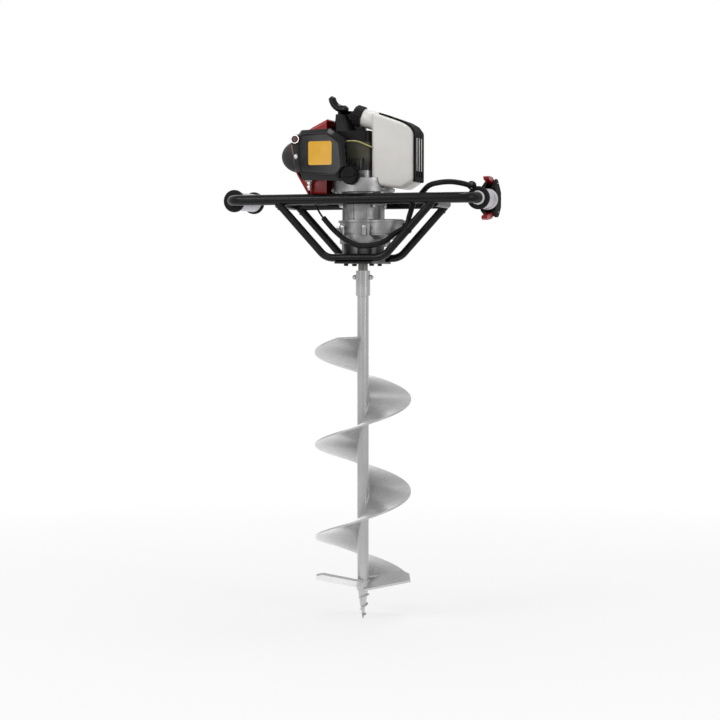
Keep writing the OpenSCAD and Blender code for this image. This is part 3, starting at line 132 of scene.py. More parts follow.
# %% Floor
paper_white = (0.9, 0.9, 0.9, 1)
glow_from, glow_to, least_glow = 0.3, 2.2, 0.72  # metres from the axis, and the share that glows there
floor_radius = 9  # metres
paper = bpy.data.materials.new("studio_paper")
paper.use_nodes = True
tree = paper.node_tree
tree.nodes.clear()
reach = add_node(tree, "ShaderNodeVectorMath")
reach.operation = "LENGTH"
tree.links.new(add_node(tree, "ShaderNodeTexCoord").outputs["Object"], reach.inputs[0])
share = add_node(tree, "ShaderNodeMapRange",
                 {"From Min": glow_from, "From Max": glow_to, "To Min": least_glow},
                 {"Value": reach.outputs["Value"]})
lit = calculate(tree, "MULTIPLY", seen_directly(tree), share.outputs[0])
matt = add_node(tree, "ShaderNodeBsdfDiffuse", {"Color": paper_white})
glow = add_node(tree, "ShaderNodeEmission", {"Strength": 1.0})
mix = add_node(tree, "ShaderNodeMixShader", links={"Fac": lit, 1: matt.outputs[0], 2: glow.outputs[0]})
add_node(tree, "ShaderNodeOutputMaterial", links={"Surface": mix.outputs[0]})


def mesh_from(bm, name):
    mesh = bpy.data.meshes.new(name)
    bm.to_mesh(mesh)
    bm.free()
    return mesh


bm = bmesh.new()
bmesh.ops.create_circle(bm, cap_ends=True, segments=96, radius=floor_radius)
floor = bpy.data.objects.new("floor", mesh_from(bm, "floor"))
floor.data.materials.append(paper)
scene.collection.objects.link(floor)
print("floor radius:", floor_radius, "m")

# %% [markdown]
# ## Lamps
# Large soft lamps draw long, gentle highlights along the tubes. The key lamp stands at the front left, and
# the others fill, top and back it. One lies low and stands for the light that the sheet throws back up.

# %% Lamps


def softbox(name, where, aim, size, watts):
    """A soft rectangular lamp. Its place, its aim and its size are in metres."""
    lamp = bpy.data.lights.new(name, "AREA")
    lamp.shape = "RECTANGLE"
    lamp.size, lamp.size_y = size
    lamp.energy = watts
    lamp_object = bpy.data.objects.new(name, lamp)
    lamp_object.location = where
    lamp_object.rotation_euler = (Vector(aim) - Vector(where)).to_track_quat("-Z", "Y").to_euler()
    lamp_object.visible_camera = False
    scene.collection.objects.link(lamp_object)


softbox("key_lamp", (-1.5, -2.2, 2.6), (0, 0, 0.8), (1.4, 0.5), 27)
softbox("fill_lamp", (2.6, -1.4, 1.3), (0, 0, 0.7), (0.6, 1.6), 17)
softbox("top_lamp", (0.2, 0.0, 2.9), (0, 0, 0.9), (1.8, 0.6), 22)
softbox("strip_lamp", (-1.16, -2.6, 1.1), (0, 0, 1.0), (0.45, 0.9), 5)
softbox("back_lamp", (-1.2, 2.6, 1.6), (0, 0, 0.7), (1.6, 1.6), 12)
softbox("bounce_lamp", (-0.3, -0.3, 0.01), (-0.3, -0.3, 1), (1.6, 1.6), 5)

# %% [markdown]
# ## Finishes
# Every finish here is a principled shader with three things fed by a pattern, mostly noise: the colour drifts
# a little, the gloss drifts a little, and a fine bump gives the grain. What differs is the scale. Powder coat
# has an orange peel of about a millimetre, cast metal a coarse skin, brushed steel a grain that is squeezed
# one way. Noise has no seams, and on Object coordinates a pattern keeps its size in metres on every piece.

# %% Noise and colour helpers
noise_low, noise_high = 0.3, 0.7


def srgb(r, g, b):
    def linear(v):
        v /= 255
        return v / 12.92 if v <= 0.04045 else ((v + 0.055) / 1.055) ** 2.4
    return (linear(r), linear(g), linear(b), 1)


def noise_value(tree, place, scale, detail, stretch):
    if stretch:
        place = add_node(tree, "ShaderNodeMapping", {"Scale": stretch}, {"Vector": place}).outputs[0]
    grain = add_node(tree, "ShaderNodeTexNoise", {"Scale": scale, "Detail": detail}, {"Vector": place})
    return grain.outputs["Fac"]


def between(tree, value, low, high):
    """Spreads the middle of a noise over the range from low to high."""
    span = {"From Min": noise_low, "From Max": noise_high, "To Min": low, "To Max": high}
    return add_node(tree, "ShaderNodeMapRange", span, {"Value": value}).outputs[0]


def blend_colours(tree, amount, first, second):
    """Mixes two colours. The first may also be the colour output of another node."""
    mix = add_node(tree, "ShaderNodeMix")
    mix.data_type = "RGBA"
    factor, colour_a, colour_b = (mix.inputs[i] for i in (0, 6, 7))
    tree.links.new(amount, factor)
    colour_b.default_value = second
    if isinstance(first, tuple):
        colour_a.default_value = first
    else:
        tree.links.new(first, colour_a)
    return mix.outputs[2]


# %% [markdown]
# One function makes every finish. Its arguments are what a maker would say of a surface: its two colours, how
# glossy it is, how coarse its grain, whether it is metal, lacquered or milky, and any painted shade that
# darkens it lower down.

# %% The finish maker
tone_detail, wear_detail, grain_detail = 4.0, 5.0, 2.0
wear_scale = 2.7
lacquer_ior = 1.8
milk_radius, milk_scale = (0.012, 0.011, 0.010), 0.5  # how far light spreads, in metres, and its share


def make_finish(name, dark, light, gloss, grain, drift=18, metal=0.0, stretch=None, coat=0.0, coat_rough=0.12,
                specular=0.5, subsurface=0.0, cells=None, shade_below=None):
    """gloss is the lowest and highest roughness; grain is the bump's scale, strength and depth in metres;
    cells is the scale of a pebbled skin in place of the grain; the last argument paints shade: the heights in
    metres between which a surface darkens downwards, and its dark colour."""
    finish = bpy.data.materials.new(name)
    finish.use_nodes = True
    tree = finish.node_tree
    shader = tree.nodes["Principled BSDF"]
    fixed = {"Metallic": metal, "Specular IOR Level": specular, "Coat Weight": coat,
             "Coat Roughness": coat_rough, "Coat IOR": lacquer_ior}
    if subsurface:
        fixed |= {"Subsurface Weight": subsurface, "Subsurface Radius": milk_radius,
                  "Subsurface Scale": milk_scale}
    for socket, value in fixed.items():
        shader.inputs[socket].default_value = value
    place = add_node(tree, "ShaderNodeTexCoord").outputs["Object"]
    tone = between(tree, noise_value(tree, place, drift, tone_detail, stretch), 0, 1)
    colour = blend_colours(tree, tone, srgb(*dark), srgb(*light))
    # Painted shade: between two heights the colour darkens downwards towards a dark colour, standing in for
    # shade low on a part.
    if shade_below:
        low, high, shade_colour = shade_below
        height = add_node(tree, "ShaderNodeSeparateXYZ", links={0: place}).outputs["Z"]
        shade_fade = add_node(tree, "ShaderNodeMapRange", {"From Min": high, "From Max": low}, {"Value": height})
        shade_fade.interpolation_type = "SMOOTHSTEP"
        colour = blend_colours(tree, shade_fade.outputs[0], colour, srgb(*shade_colour))
    tree.links.new(colour, shader.inputs["Base Color"])
    wear = noise_value(tree, place, drift * wear_scale, wear_detail, stretch)
    tree.links.new(between(tree, wear, *gloss), shader.inputs["Roughness"])
    scale, strength, depth = grain
    if cells:
        skin = add_node(tree, "ShaderNodeTexVoronoi", {"Scale": cells}, {"Vector": place}).outputs["Distance"]
    else:
        skin = noise_value(tree, place, scale, grain_detail, stretch)
    bump = add_node(tree, "ShaderNodeBump", {"Strength": strength, "Distance": depth}, {"Height": skin})
    tree.links.new(bump.outputs[0], shader.inputs["Normal"])
    return finish


# %% [markdown]
# The first half of the palette is paint, plastic, rubber and the like: satin black tubes, a glossy black
# cover, a deep red shroud, milky tank plastic and lilac-grey grips. A flat black face mirrors the white
# world, so most of the blacks are satin or dull, and all of them have a low specular level.

# %% Paints, plastics and rubber
powder_coat = make_finish("powder_coat", (10, 10, 11), (17, 17, 18), (0.20, 0.30), (700, 0.2, 0.0003),
                          specular=0.16)
gloss_black = make_finish("gloss_black", (8, 8, 9), (14, 14, 15), (0.06, 0.12), (420, 0.02, 0.0002),
                          specular=0.2)
matt_black = make_finish("matt_black", (14, 14, 15), (22, 22, 23), (0.42, 0.56), (1500, 0.35, 0.0003),
                         specular=0.12)
satin_black = make_finish("satin_black", (10, 10, 11), (17, 17, 18), (0.30, 0.42), (900, 0.3, 0.0003),
                          specular=0.12)
dull_black = make_finish("dull_black", (10, 10, 11), (16, 16, 17), (0.62, 0.76), (1500, 0.3, 0.0003),
                         specular=0.06)
shroud_red = make_finish("shroud_red", (150, 14, 16), (172, 22, 22), (0.20, 0.30), (600, 0.10, 0.0003),
                         specular=0.3)
lever_red = make_finish("lever_red", (136, 18, 18), (158, 26, 24), (0.28, 0.40), (900, 0.2, 0.0003),
                        specular=0.3)
maroon_cap = make_finish("maroon_cap", (58, 20, 24), (74, 28, 32), (0.2, 0.3), (700, 0.1, 0.0002))
sleeve_grey = make_finish("sleeve_grey", (196, 194, 196), (214, 212, 214), (0.3, 0.4), (900, 0.1, 0.0002))
dome_grey = make_finish("dome_grey", (40, 39, 40), (50, 49, 50), (0.5, 0.62), (1300, 0.3, 0.0003),
                        specular=0.25)
# The cowl's colour darkens towards its bottom edge as painted shade in and around the slots there.
cowl_olive = make_finish("cowl_olive", (50, 50, 41), (66, 65, 53), (0.45, 0.6), (1200, 0.35, 0.0003),
                         specular=0.3, shade_below=(0.936, 0.956, (20, 20, 19)))
grip_rubber = make_finish("grip_rubber", (196, 193, 199), (213, 210, 216), (0.55, 0.7), (900, 0.4, 0.0005),
                          cells=700, specular=0.3)
tank_plastic = make_finish("tank_plastic", (209, 206, 202), (221, 219, 215), (0.34, 0.46),
                           (300, 0.12, 0.0005), drift=12, subsurface=0.25)
hose_amber = make_finish("hose_amber", (158, 150, 92), (180, 172, 116), (0.22, 0.34), (400, 0.1, 0.0002),
                         subsurface=0.3)
panel_amber = make_finish("panel_amber", (214, 158, 34), (224, 170, 44), (0.32, 0.42), (900, 0.08, 0.0002))
rope_white = make_finish("rope_white", (206, 203, 196), (228, 226, 220), (0.7, 0.85), (2200, 0.6, 0.0004))
filter_foam = make_finish("filter_foam", (110, 104, 92), (140, 132, 116), (0.8, 0.95), (500, 0.8, 0.001),
                          cells=600)
plug_ceramic = make_finish("plug_ceramic", (226, 225, 220), (238, 237, 233), (0.1, 0.2), (200, 0.05, 0.0002))
print("finishes:", len(bpy.data.materials))

# %% [markdown]
# The second half is metal: raw die castings with a coarse skin, steel fasteners, gears, and the light grey
# paint of the bit under a thin lacquer. The gear case and the clutch housing wear a slightly darker copy of
# the casting finish as painted shade, and the lower gear case also darkens downwards with painted shade.

# %% Metals
cast_alloy = make_finish("cast_alloy", (116, 115, 116), (154, 153, 154), (0.32, 0.48), (260, 0.35, 0.0008),
                         metal=0.85, drift=40)
# A slightly darker copy of the casting finish: painted shade for the gear case and clutch housing below the
# handlebar.
cast_in_shade = make_finish("cast_in_shade", (112, 112, 113), (150, 149, 149), (0.34, 0.5), (260, 0.4, 0.0008),
                        metal=0.85, drift=40)
# The lower gear case: the shaded copy of the casting finish, with painted shade that darkens it towards the
# bottom.
cast_shade_below = make_finish("cast_shade_below", (112, 112, 113), (150, 149, 149), (0.34, 0.5), (260, 0.4, 0.0008),
                         metal=0.85, drift=40, shade_below=(0.744, 0.784, (58, 58, 60)))
bright_steel = make_finish("bright_steel", (150, 150, 153), (196, 196, 198), (0.24, 0.38),
                           (500, 0.15, 0.0002), metal=1.0, stretch=(1, 1, 6))
dark_steel = make_finish("dark_steel", (92, 90, 88), (120, 118, 116), (0.3, 0.45), (500, 0.2, 0.0003),
                         metal=1.0)
chrome_ring = make_finish("chrome_ring", (162, 160, 160), (190, 188, 188), (0.1, 0.2), (600, 0.05, 0.0001),
                          metal=1.0)
bit_paint = make_finish("bit_paint", (150, 150, 151), (166, 166, 167), (0.24, 0.32), (380, 0.05, 0.0004),
                        drift=9, specular=0.8, coat=1.0, coat_rough=0.3)
heat_paint = make_finish("heat_paint", (46, 44, 43), (74, 70, 66), (0.5, 0.68), (500, 0.4, 0.0005))
print("finishes:", len(bpy.data.materials))

# %% [markdown]
# ## Dressing the solids
# Each finish is handed to the solids that wear it. The count at the end shows that none is left bare.

# %% Dress the solids
wears = {
    powder_coat: "handlebar rear_hoop front_cradle rear_cradle base_plate",
    gloss_black: "air_cleaner_cover starter_handle",
    dull_black: "throttle_housing tank_guard",
    matt_black: "mount_bolts cover_knob grip_collars cable_tie air_cleaner_base choke_knob fuel_cap"
                " starter_reel oil_seal",
    satin_black: "throttle_conduit throttle_cable starter_housing",
    shroud_red: "cylinder_shroud",
    lever_red: "throttle_trigger throttle_lock stop_switch",
    cowl_olive: "engine_cowl",
    dome_grey: "plug_cover",
    grip_rubber: "left_grip right_grip",
    cast_alloy: "fan_housing crankcase engine_cylinder carburettor",
    cast_in_shade: "gearbox_upper clutch_housing",
    cast_shade_below: "gearbox_lower",
    bright_steel: "throttle_pins cable_adjuster housing_bolts cover_screw",
    dark_steel: "gearbox_bearings output_gear lay_shaft lay_gear clutch_drum clutch_shoes crankshaft flywheel"
                " output_shaft",
    bit_paint: "auger_tube auger_flight cutter_blades auger_tip coupling_bolt",
    tank_plastic: "fuel_tank",
    heat_paint: "muffler",
    filter_foam: "air_filter",
    plug_ceramic: "spark_plug",
    hose_amber: "fuel_line",
    rope_white: "starter_rope",
}
dressed = set()
for finish, names in wears.items():
    for name in names.split():
        for slot in nodes[name].material_slots:
            slot.material = finish
        dressed.add(name)
print("dressed:", len(dressed), "left bare:", sorted(set(nodes) - dressed))

# %% [markdown]
# ## The flight
# The flight is a strip of plate wound round the core tube as a right-handed screw. The solid is made of flat
# facets, so the smooth one replaces it: one small cross-section of the plate, spun round the axis while it
# climbs. The plate's rim is slightly rounded, as a sheared and painted edge is. Every new piece ends in
# settle, which gives it its finish, shades it smooth up to an angle and, when it is given a body, lets it
# ride on that one. A piece that is still a bmesh goes through finish_bmesh first, which merges doubled points
# and recalculates the normals. The place of a piece is in its mesh, so its object stays at the origin.

# %% The flight


def settle(mesh, name, finish, body, angle=35):
    mesh.name = name
    mesh.materials.clear()
    mesh.materials.append(finish)
    mesh.polygons.foreach_set("use_smooth", [True] * len(mesh.polygons))
    mesh.set_sharp_from_angle(angle=math.radians(angle))
    piece = bpy.data.objects.new(name, mesh)
    scene.collection.objects.link(piece)
    if body:
        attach(piece, body)
    print(name, "faces:", len(mesh.polygons))
    return piece


def finish_bmesh(bm, name, finish, body, angle=35):
    bmesh.ops.remove_doubles(bm, verts=bm.verts, dist=1e-6)
    bmesh.ops.recalc_face_normals(bm, faces=bm.faces)
    return settle(mesh_from(bm, name), name, finish, body, angle)


flight_turns, flight_steps, flight_pitch, flight_foot = 2.6, 320, 192, 84
flight_start = math.radians(41)
core_r, bit_r, plate_t = 11.9, 100, 4
edge_of_plate = [(core_r, 0), (bit_r - 0.8, 0), (bit_r - 0.2, 0.6), (bit_r, plate_t / 2),
                 (bit_r - 0.2, plate_t - 0.6), (bit_r - 0.8, plate_t), (core_r, plate_t)]
bm = bmesh.new()
ring = [bm.verts.new(Vector((r * math.cos(flight_start), r * math.sin(flight_start), flight_foot + z)) * mm)
        for r, z in edge_of_plate]
section = bm.faces.new(ring)
bmesh.ops.spin(bm, geom=[section, *section.edges, *ring], cent=(0, 0, 0), axis=(0, 0, 1),
               dvec=(0, 0, flight_pitch * mm * flight_turns / flight_steps), angle=math.tau * flight_turns,
               steps=flight_steps, use_merge=False)
flight = finish_bmesh(bm, "flight_plate", bit_paint, "auger", 40)
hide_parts("auger_flight")

# %% [markdown]
# ## Helpers for mouldings
# A moulding starts as a flat outline that is pulled to its depth and softened along its edges. Bars, blocks
# and turned shapes are added to it, or become cutters that a Boolean modifier takes out of it.

# %% Shaping helpers


def at(x, y, z):
    return Matrix.Translation(Vector((x, y, z)) * mm)


def outline_face(bm, outline, y):
    return bm.faces.new([bm.verts.new((x * mm, y * mm, z * mm)) for x, z in outline])


def pull(bm, face, offset):
    """Extrudes a face by a vector and returns the new face. The old face stays in place."""
    grown = bmesh.ops.extrude_face_region(bm, geom=[face])["geom"]
    moved = [item for item in grown if isinstance(item, bmesh.types.BMVert)]
    bmesh.ops.translate(bm, verts=moved, vec=Vector(offset) * mm)
    return next(item for item in grown if isinstance(item, bmesh.types.BMFace))


def soften(bm, edges, width, segments=4):
    bmesh.ops.bevel(bm, geom=edges, offset=width * mm, offset_type="OFFSET", segments=segments, profile=0.5,
                    affect="EDGES", clamp_overlap=True, material=-1)


def edges_of(bm, verts):
    chosen = set(verts)
    return [edge for edge in bm.edges if edge.verts[0] in chosen]


def rod(bm, radius, length, place, segments=64, taper=0):
    """A round bar along the Z of a frame, with its middle there."""
    return bmesh.ops.create_cone(bm, cap_ends=True, segments=segments, radius1=radius * mm,
                                 radius2=(radius - taper) * mm, depth=length * mm, matrix=place)["verts"]


def block(bm, size, place):
    return bmesh.ops.create_cube(bm, size=1,
                                 matrix=place @ Matrix.Diagonal(Vector(size) * mm).to_4x4())["verts"]


def turned(bm, profile, segments=48):
    """Spins (radius, height) points round Z and returns the new vertices."""
    verts = [bm.verts.new((r * mm, 0, z * mm)) for r, z in profile]
    edges = [bm.edges.new(pair) for pair in zip(verts, verts[1:])]
    before = set(bm.verts) - set(verts)
    bmesh.ops.spin(bm, geom=[*verts, *edges], cent=(0, 0, 0), axis=(0, 0, 1), angle=math.tau, steps=segments,
                   use_merge=True)
    made = [v for v in bm.verts if v not in before]
    bmesh.ops.remove_doubles(bm, verts=made, dist=1e-6)
    return [v for v in bm.verts if v not in before]


def cut_away(mesh, cutter_bm, name, operation="DIFFERENCE"):
    """Takes the cutter's shape out of a mesh, or joins it on, and returns the new mesh."""
    bmesh.ops.recalc_face_normals(cutter_bm, faces=cutter_bm.faces)
    cutter_mesh = mesh_from(cutter_bm, name + "_cutter")
    whole = bpy.data.objects.new(name, mesh)
    cutter = bpy.data.objects.new(name + "_cutter", cutter_mesh)
    scene.collection.objects.link(whole)
    scene.collection.objects.link(cutter)
    boolean = whole.modifiers.new("cut", "BOOLEAN")
    boolean.operation = operation
    boolean.solver = "EXACT"
    boolean.use_self = True
    boolean.object = cutter
    graph = bpy.context.evaluated_depsgraph_get()
    result = bpy.data.meshes.new_from_object(whole.evaluated_get(graph))
    for spare in (whole, cutter):
        bpy.data.objects.remove(spare)
    bpy.data.meshes.remove(cutter_mesh)
    return result


# %% [markdown]
# ## The fuel tank
# A blow-moulded tank is soft at every edge. The outline is drawn once, pulled back to the tank's depth and
# bevelled, and the room for the fan housing is cut from it with a round bar.

# %% The tank's body
z_cylinder, x_tank = 959, 32
tank_front, tank_depth, tank_round = -45, 80, 9
tank_outline = [(0, -50), (19, -64), (62, -71), (87, -56), (87, 44), (78, 56), (64, 64), (0, 87)]
fan_room_r, fan_room_h, fan_room_top = 65, 60, 912.3
bm = bmesh.new()
side = outline_face(bm, [(x_tank + x, z_cylinder + z) for x, z in tank_outline], tank_front)
pull(bm, side, (0, tank_depth, 0))
soften(bm, bm.edges[:], tank_round, 6)
bmesh.ops.recalc_face_normals(bm, faces=bm.faces)
tank_mesh = mesh_from(bm, "tank_body")
bm = bmesh.new()
rod(bm, fan_room_r, fan_room_h, at(0, 0, fan_room_top - fan_room_h / 2), 96)
tank_mesh = cut_away(tank_mesh, bm, "tank_body")
print("tank body faces:", len(tank_mesh.polygons))

# %% [markdown]
# The filler neck leans far over to the left. It is a turned shape with a thread, and its foot flares out into
# the tank below. The flare grows as a power of the depth, so it starts gently. Three pale ribs stand in the
# slots of the guard.

# %% The tank's neck and ribs
lean = math.radians(18)
neck_at, neck_r = (x_tank + 6, -20, z_cylinder + 67.5), 19
neck_rings = [(neck_r, z) for z in (-4, -2, 0, 2, 4, 6, 9, 14, 30)]
neck_thread = [(18, 32), (16, 32), (16, 34), (16.6, 35), (16, 36), (16, 38), (16.6, 39), (16, 40), (16, 43)]
neck_bore = [(13, 43), (13, 30), (0, 30)]
flare_w, flare_len, flare_from, flare_power, flare_sideways = 8, 12, 4, 1.6, 0.3
rib_x, rib_y, rib_step, rib_size = 119.6, -4, 16.5, (6, 5, 68)
bm = bmesh.new()
bm.from_mesh(tank_mesh)
neck = turned(bm, [(0, -4), *neck_rings, *neck_thread, *neck_bore])
for v in neck:
    flare = flare_w * (max(0, flare_from - v.co.z / mm) / flare_len) ** flare_power
    v.co.x = v.co.x * (neck_r + flare) / neck_r - flare * mm
    v.co.y *= (neck_r + flare_sideways * flare) / neck_r
bmesh.ops.transform(bm, verts=neck, matrix=at(*neck_at) @ Matrix.Rotation(lean - math.pi / 2, 4, "Y"))
for k in (-1, 0, 1):
    rib = block(bm, rib_size, at(rib_x, rib_y + rib_step * k, z_cylinder))
    soften(bm, edges_of(bm, rib), 1.6, 3)
tank = finish_bmesh(bm, "milky_tank", tank_plastic, "frame", 30)
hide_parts("fuel_tank")

# %% [markdown]
# ## The air cleaner cover
# The cover is a shallow glossy box with a raised eight-sided face. Its rim, its slopes and its face are three
# rings of the same eight corners, so it is one face pulled out twice and bevelled. Two low bosses carry the
# knob and the screw. A pull leaves the face it starts from, so one wall stays inside the cover.

# %% The cover's shell
base_front = -74
cover_rim = [(-127, 24), (-106, 50), (-46, 52), (-14, 30), (-8, -28), (-24, -54), (-106, -51), (-122, -26)]
cover_face = [(-112, 20), (-104, 42), (-48, 43), (-21, 23), (-15, -26), (-29, -44), (-104, -40), (-110, -22)]
rim_h, slope_h, face_border, face_sunk = 6, 10, 4, 0.8
knob_at, screw_at, choke_at = (-116, 31), (-116, -4), (-4, -43)
bosses = ((knob_at, 10.4, 6), (screw_at, 8, 9))


def facing_front(x, z, y):
    """A frame at a place on the cover whose Z points out of it, to the front."""
    return at(x, y, z_cylinder + z) @ Matrix.Rotation(math.pi / 2, 4, "X")


def face_corner(vert):
    """The corner of the cover's face that belongs to a corner of its rim."""
    here = Vector((vert.co.x / mm, vert.co.z / mm - z_cylinder))
    return min(zip(cover_rim, cover_face), key=lambda pair: (Vector(pair[0]) - here).length)[1]


bm = bmesh.new()
back = outline_face(bm, [(x, z_cylinder + z) for x, z in cover_rim], base_front)
shoulder = pull(bm, back, (0, -rim_h, 0))
top = pull(bm, shoulder, (0, -slope_h, 0))
for corner in top.verts:
    x, z = face_corner(corner)
    corner.co.x, corner.co.z = x * mm, (z_cylinder + z) * mm
bmesh.ops.recalc_face_normals(bm, faces=bm.faces)
bmesh.ops.inset_individual(bm, faces=[top], thickness=face_border * mm, depth=-face_sunk * mm)
soften(bm, [edge for edge in bm.edges if edge.calc_length() > 5 * mm], 2.2, 3)
for place, boss_r, boss_h in bosses:
    rod(bm, boss_r, boss_h, facing_front(*place, base_front - boss_h / 2), 40, taper=0.6)
bmesh.ops.recalc_face_normals(bm, faces=bm.faces)
cover_mesh = mesh_from(bm, "cover_shell")
print("cover shell faces:", len(cover_mesh.polygons))

# %% [markdown]
# A round bite leaves room for the choke knob, and three slots on the right let the air in. The knob and the
# screw sit in round sinks. All the cutters go into one mesh, so one Boolean takes them out together.

# %% The cover's cuts
choke_room_r, choke_room_h = 19, 60
knob_sink_r, knob_sink_h, knob_floor = 9.9, 30, 6
screw_sink_r, screw_sink_h, screw_floor = 6.4, 20, 8
slot_x, slot_in, slot_step, slot_size = -8, 4.6, 14, (24, 5, 8)
bm = bmesh.new()
rod(bm, choke_room_r, choke_room_h, facing_front(*choke_at, base_front))
rod(bm, knob_sink_r, knob_sink_h, facing_front(*knob_at, base_front - knob_floor - knob_sink_h / 2), 48)
rod(bm, screw_sink_r, screw_sink_h, facing_front(*screw_at, base_front - screw_floor - screw_sink_h / 2), 32)
for k in (-1, 0, 1):
    block(bm, slot_size, at(slot_x, base_front - slot_in, z_cylinder + slot_step * k))
cover_mesh = cut_away(cover_mesh, bm, "cover_shell")
cover = settle(cover_mesh, "cleaner_cover", gloss_black, "frame", 32)
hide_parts("air_cleaner_cover")

# %% [markdown]
# ## The shroud
# The shroud guides the cooling air over the cylinder. It is a thin red moulding, open on the engine's side,
# so its outline is pulled to its depth, the open face is deleted, the edges are rounded and the wall is given
# its thickness last. Two round bars then cut the ports through it and the hole for the spark plug.

# %% The shroud
shroud_front, shroud_depth, shroud_wall, shroud_round = -40, 86, 3, 7
shroud_outline = [(-66, 75), (-99, 59), (-146, 24), (-135, -34), (-107, -82), (-66, -82)]
port_x, port_r, port_len = -90, 14, 200
plug_hole_x, plug_hole_r, plug_hole_len = -150, 25, 40
bm = bmesh.new()
side = outline_face(bm, [(x, z_cylinder + z) for x, z in shroud_outline], shroud_front)
pull(bm, side, (0, shroud_depth, 0))
open_face = max(bm.faces, key=lambda face: face.calc_center_median().x)
bmesh.ops.delete(bm, geom=[open_face], context="FACES_ONLY")
soften(bm, [edge for edge in bm.edges if len(edge.link_faces) == 2], shroud_round, 5)
bmesh.ops.recalc_face_normals(bm, faces=bm.faces)
inside = Vector((port_x, shroud_front + shroud_depth / 2, z_cylinder)) * mm
if sum(face.normal.dot(face.calc_center_median() - inside) for face in bm.faces) < 0:
    bmesh.ops.reverse_faces(bm, faces=bm.faces)
bmesh.ops.solidify(bm, geom=bm.faces[:], thickness=shroud_wall * mm)
shroud_mesh = mesh_from(bm, "shroud_shell")
bm = bmesh.new()
rod(bm, port_r, port_len, facing_front(port_x, 0, 0), 48)
rod(bm, plug_hole_r, plug_hole_len, at(plug_hole_x, 0, z_cylinder) @ Matrix.Rotation(math.pi / 2, 4, "Y"))
shroud_mesh = cut_away(shroud_mesh, bm, "shroud_shell")
shroud = settle(shroud_mesh, "red_shroud", shroud_red, "frame", 40)
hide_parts("cylinder_shroud")

# %% [markdown]
# ## The plug cover
# The plug cover is half an egg of dark rubber. Its profile runs up the outside and back down the inside, and
# is turned about its own axis. It is then made a little taller than it is wide.

# %% The plug cover
dome_x, dome_r, dome_h, dome_wall = -134, 32, 43, 3
dome_skirt, dome_lift, dome_tall = 5, 1.5, 1.08
dome_steps = 14
rounds = [math.radians(90 * i / dome_steps) for i in range(dome_steps)]


def quarter(radius, height):
    return [(radius * math.cos(a), height * math.sin(a)) for a in rounds]


inner_r, inner_h = dome_r - dome_wall, dome_h - dome_wall
bm = bmesh.new()
egg = turned(bm, [*quarter(dome_r, dome_h), (0, dome_h), (0, inner_h), *reversed(quarter(inner_r, inner_h)),
                  (inner_r, -dome_skirt), (dome_r, -dome_skirt), (dome_r, 0)], 64)
bmesh.ops.transform(bm, verts=egg,
                    matrix=at(dome_x, 0, z_cylinder + dome_lift) @ Matrix.Diagonal((1, 1, dome_tall, 1))
                    @ Matrix.Rotation(-math.pi / 2, 4, "Y"))
dome = finish_bmesh(bm, "plug_dome", dome_grey, "frame", 40)
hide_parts("plug_cover")

# %% [markdown]
# ## The amber panel
# The face of the cover carries a plain amber panel. It is a thin plate with round corners. Two insets of its
# front face press a border into it.

# %% The amber panel
panel_left, panel_right, panel_low, panel_high = -88, -38, -22, 26
panel_out, panel_t, panel_round = 15, 0.7, 4
border_w, border_step, border_sunk = 1.4, 0.4, 0.15
bm = bmesh.new()
plate = outline_face(bm, [(x, z_cylinder + z) for x, z in (
    (panel_left, panel_low), (panel_right, panel_low), (panel_right, panel_high), (panel_left, panel_high))],
    base_front - panel_out)
pull(bm, plate, (0, -panel_t, 0))
upright = [edge for edge in bm.edges if abs(edge.verts[0].co.y - edge.verts[1].co.y) > 0.2 * mm]
soften(bm, upright, panel_round, 5)
front = min((face for face in bm.faces if len(face.verts) > 8), key=lambda face: face.calc_center_median().y)
bmesh.ops.inset_individual(bm, faces=[front], thickness=border_w * mm, depth=0)
bmesh.ops.inset_individual(bm, faces=[front], thickness=border_step * mm, depth=-border_sunk * mm)
finish_bmesh(bm, "amber_panel", panel_amber, "frame", 25)

# %% [markdown]
# ## Conduit, cable and fuel line
# These follow the routes of the solids with more sides, and the fuel line runs on into the tank's wall. A
# bevelled curve keeps a tube round through every bend, so each route becomes a curve first and a mesh after.
# The conduit is a plain smooth sleeve, so its finish does most of the work.

# %% Path and tube helpers


def smooth_path(points, steps):
    """Points along a smooth curve through the given ones, the same curve that the solids follow."""
    path = []
    last = len(points) - 1
    for i in range(last):
        a, b, c, d = (Vector(points[max(min(k, last), 0)]) for k in (i - 1, i, i + 1, i + 2))
        for j in range(steps):
            t = j / steps
            path.append(0.5 * (2 * b + (c - a) * t + (2 * a - 5 * b + 4 * c - d) * t * t
                               + (3 * b - a - 3 * c + d) * t ** 3))
    return path + [Vector(points[last])]


def tube_mesh(name, path, radius, radii=None, closed=False, sides=6):
    """A round tube along a path, made from a curve and turned into a mesh. radii scale it point by point."""
    curve = bpy.data.curves.new(name, "CURVE")
    curve.dimensions = "3D"
    curve.bevel_depth = radius * mm
    curve.bevel_resolution = sides
    curve.use_fill_caps = True
    spline = curve.splines.new("POLY")
    spline.points.add(len(path) - 1)
    for i, point in enumerate(path):
        spline.points[i].co = (*point, 1)
        spline.points[i].radius = radii[i] if radii else 1
    spline.use_cyclic_u = closed
    holder = bpy.data.objects.new(name, curve)
    scene.collection.objects.link(holder)
    graph = bpy.context.evaluated_depsgraph_get()
    mesh = bpy.data.meshes.new_from_object(holder.evaluated_get(graph))
    bpy.data.objects.remove(holder)
    bpy.data.curves.remove(curve)
    return mesh


# %% [markdown]
# The conduit leaves the throttle, hangs in front of the gear case and ends at the left, where the bare cable
# goes on up to its adjuster. The fuel line crosses the cowl from the carburettor to the tank.

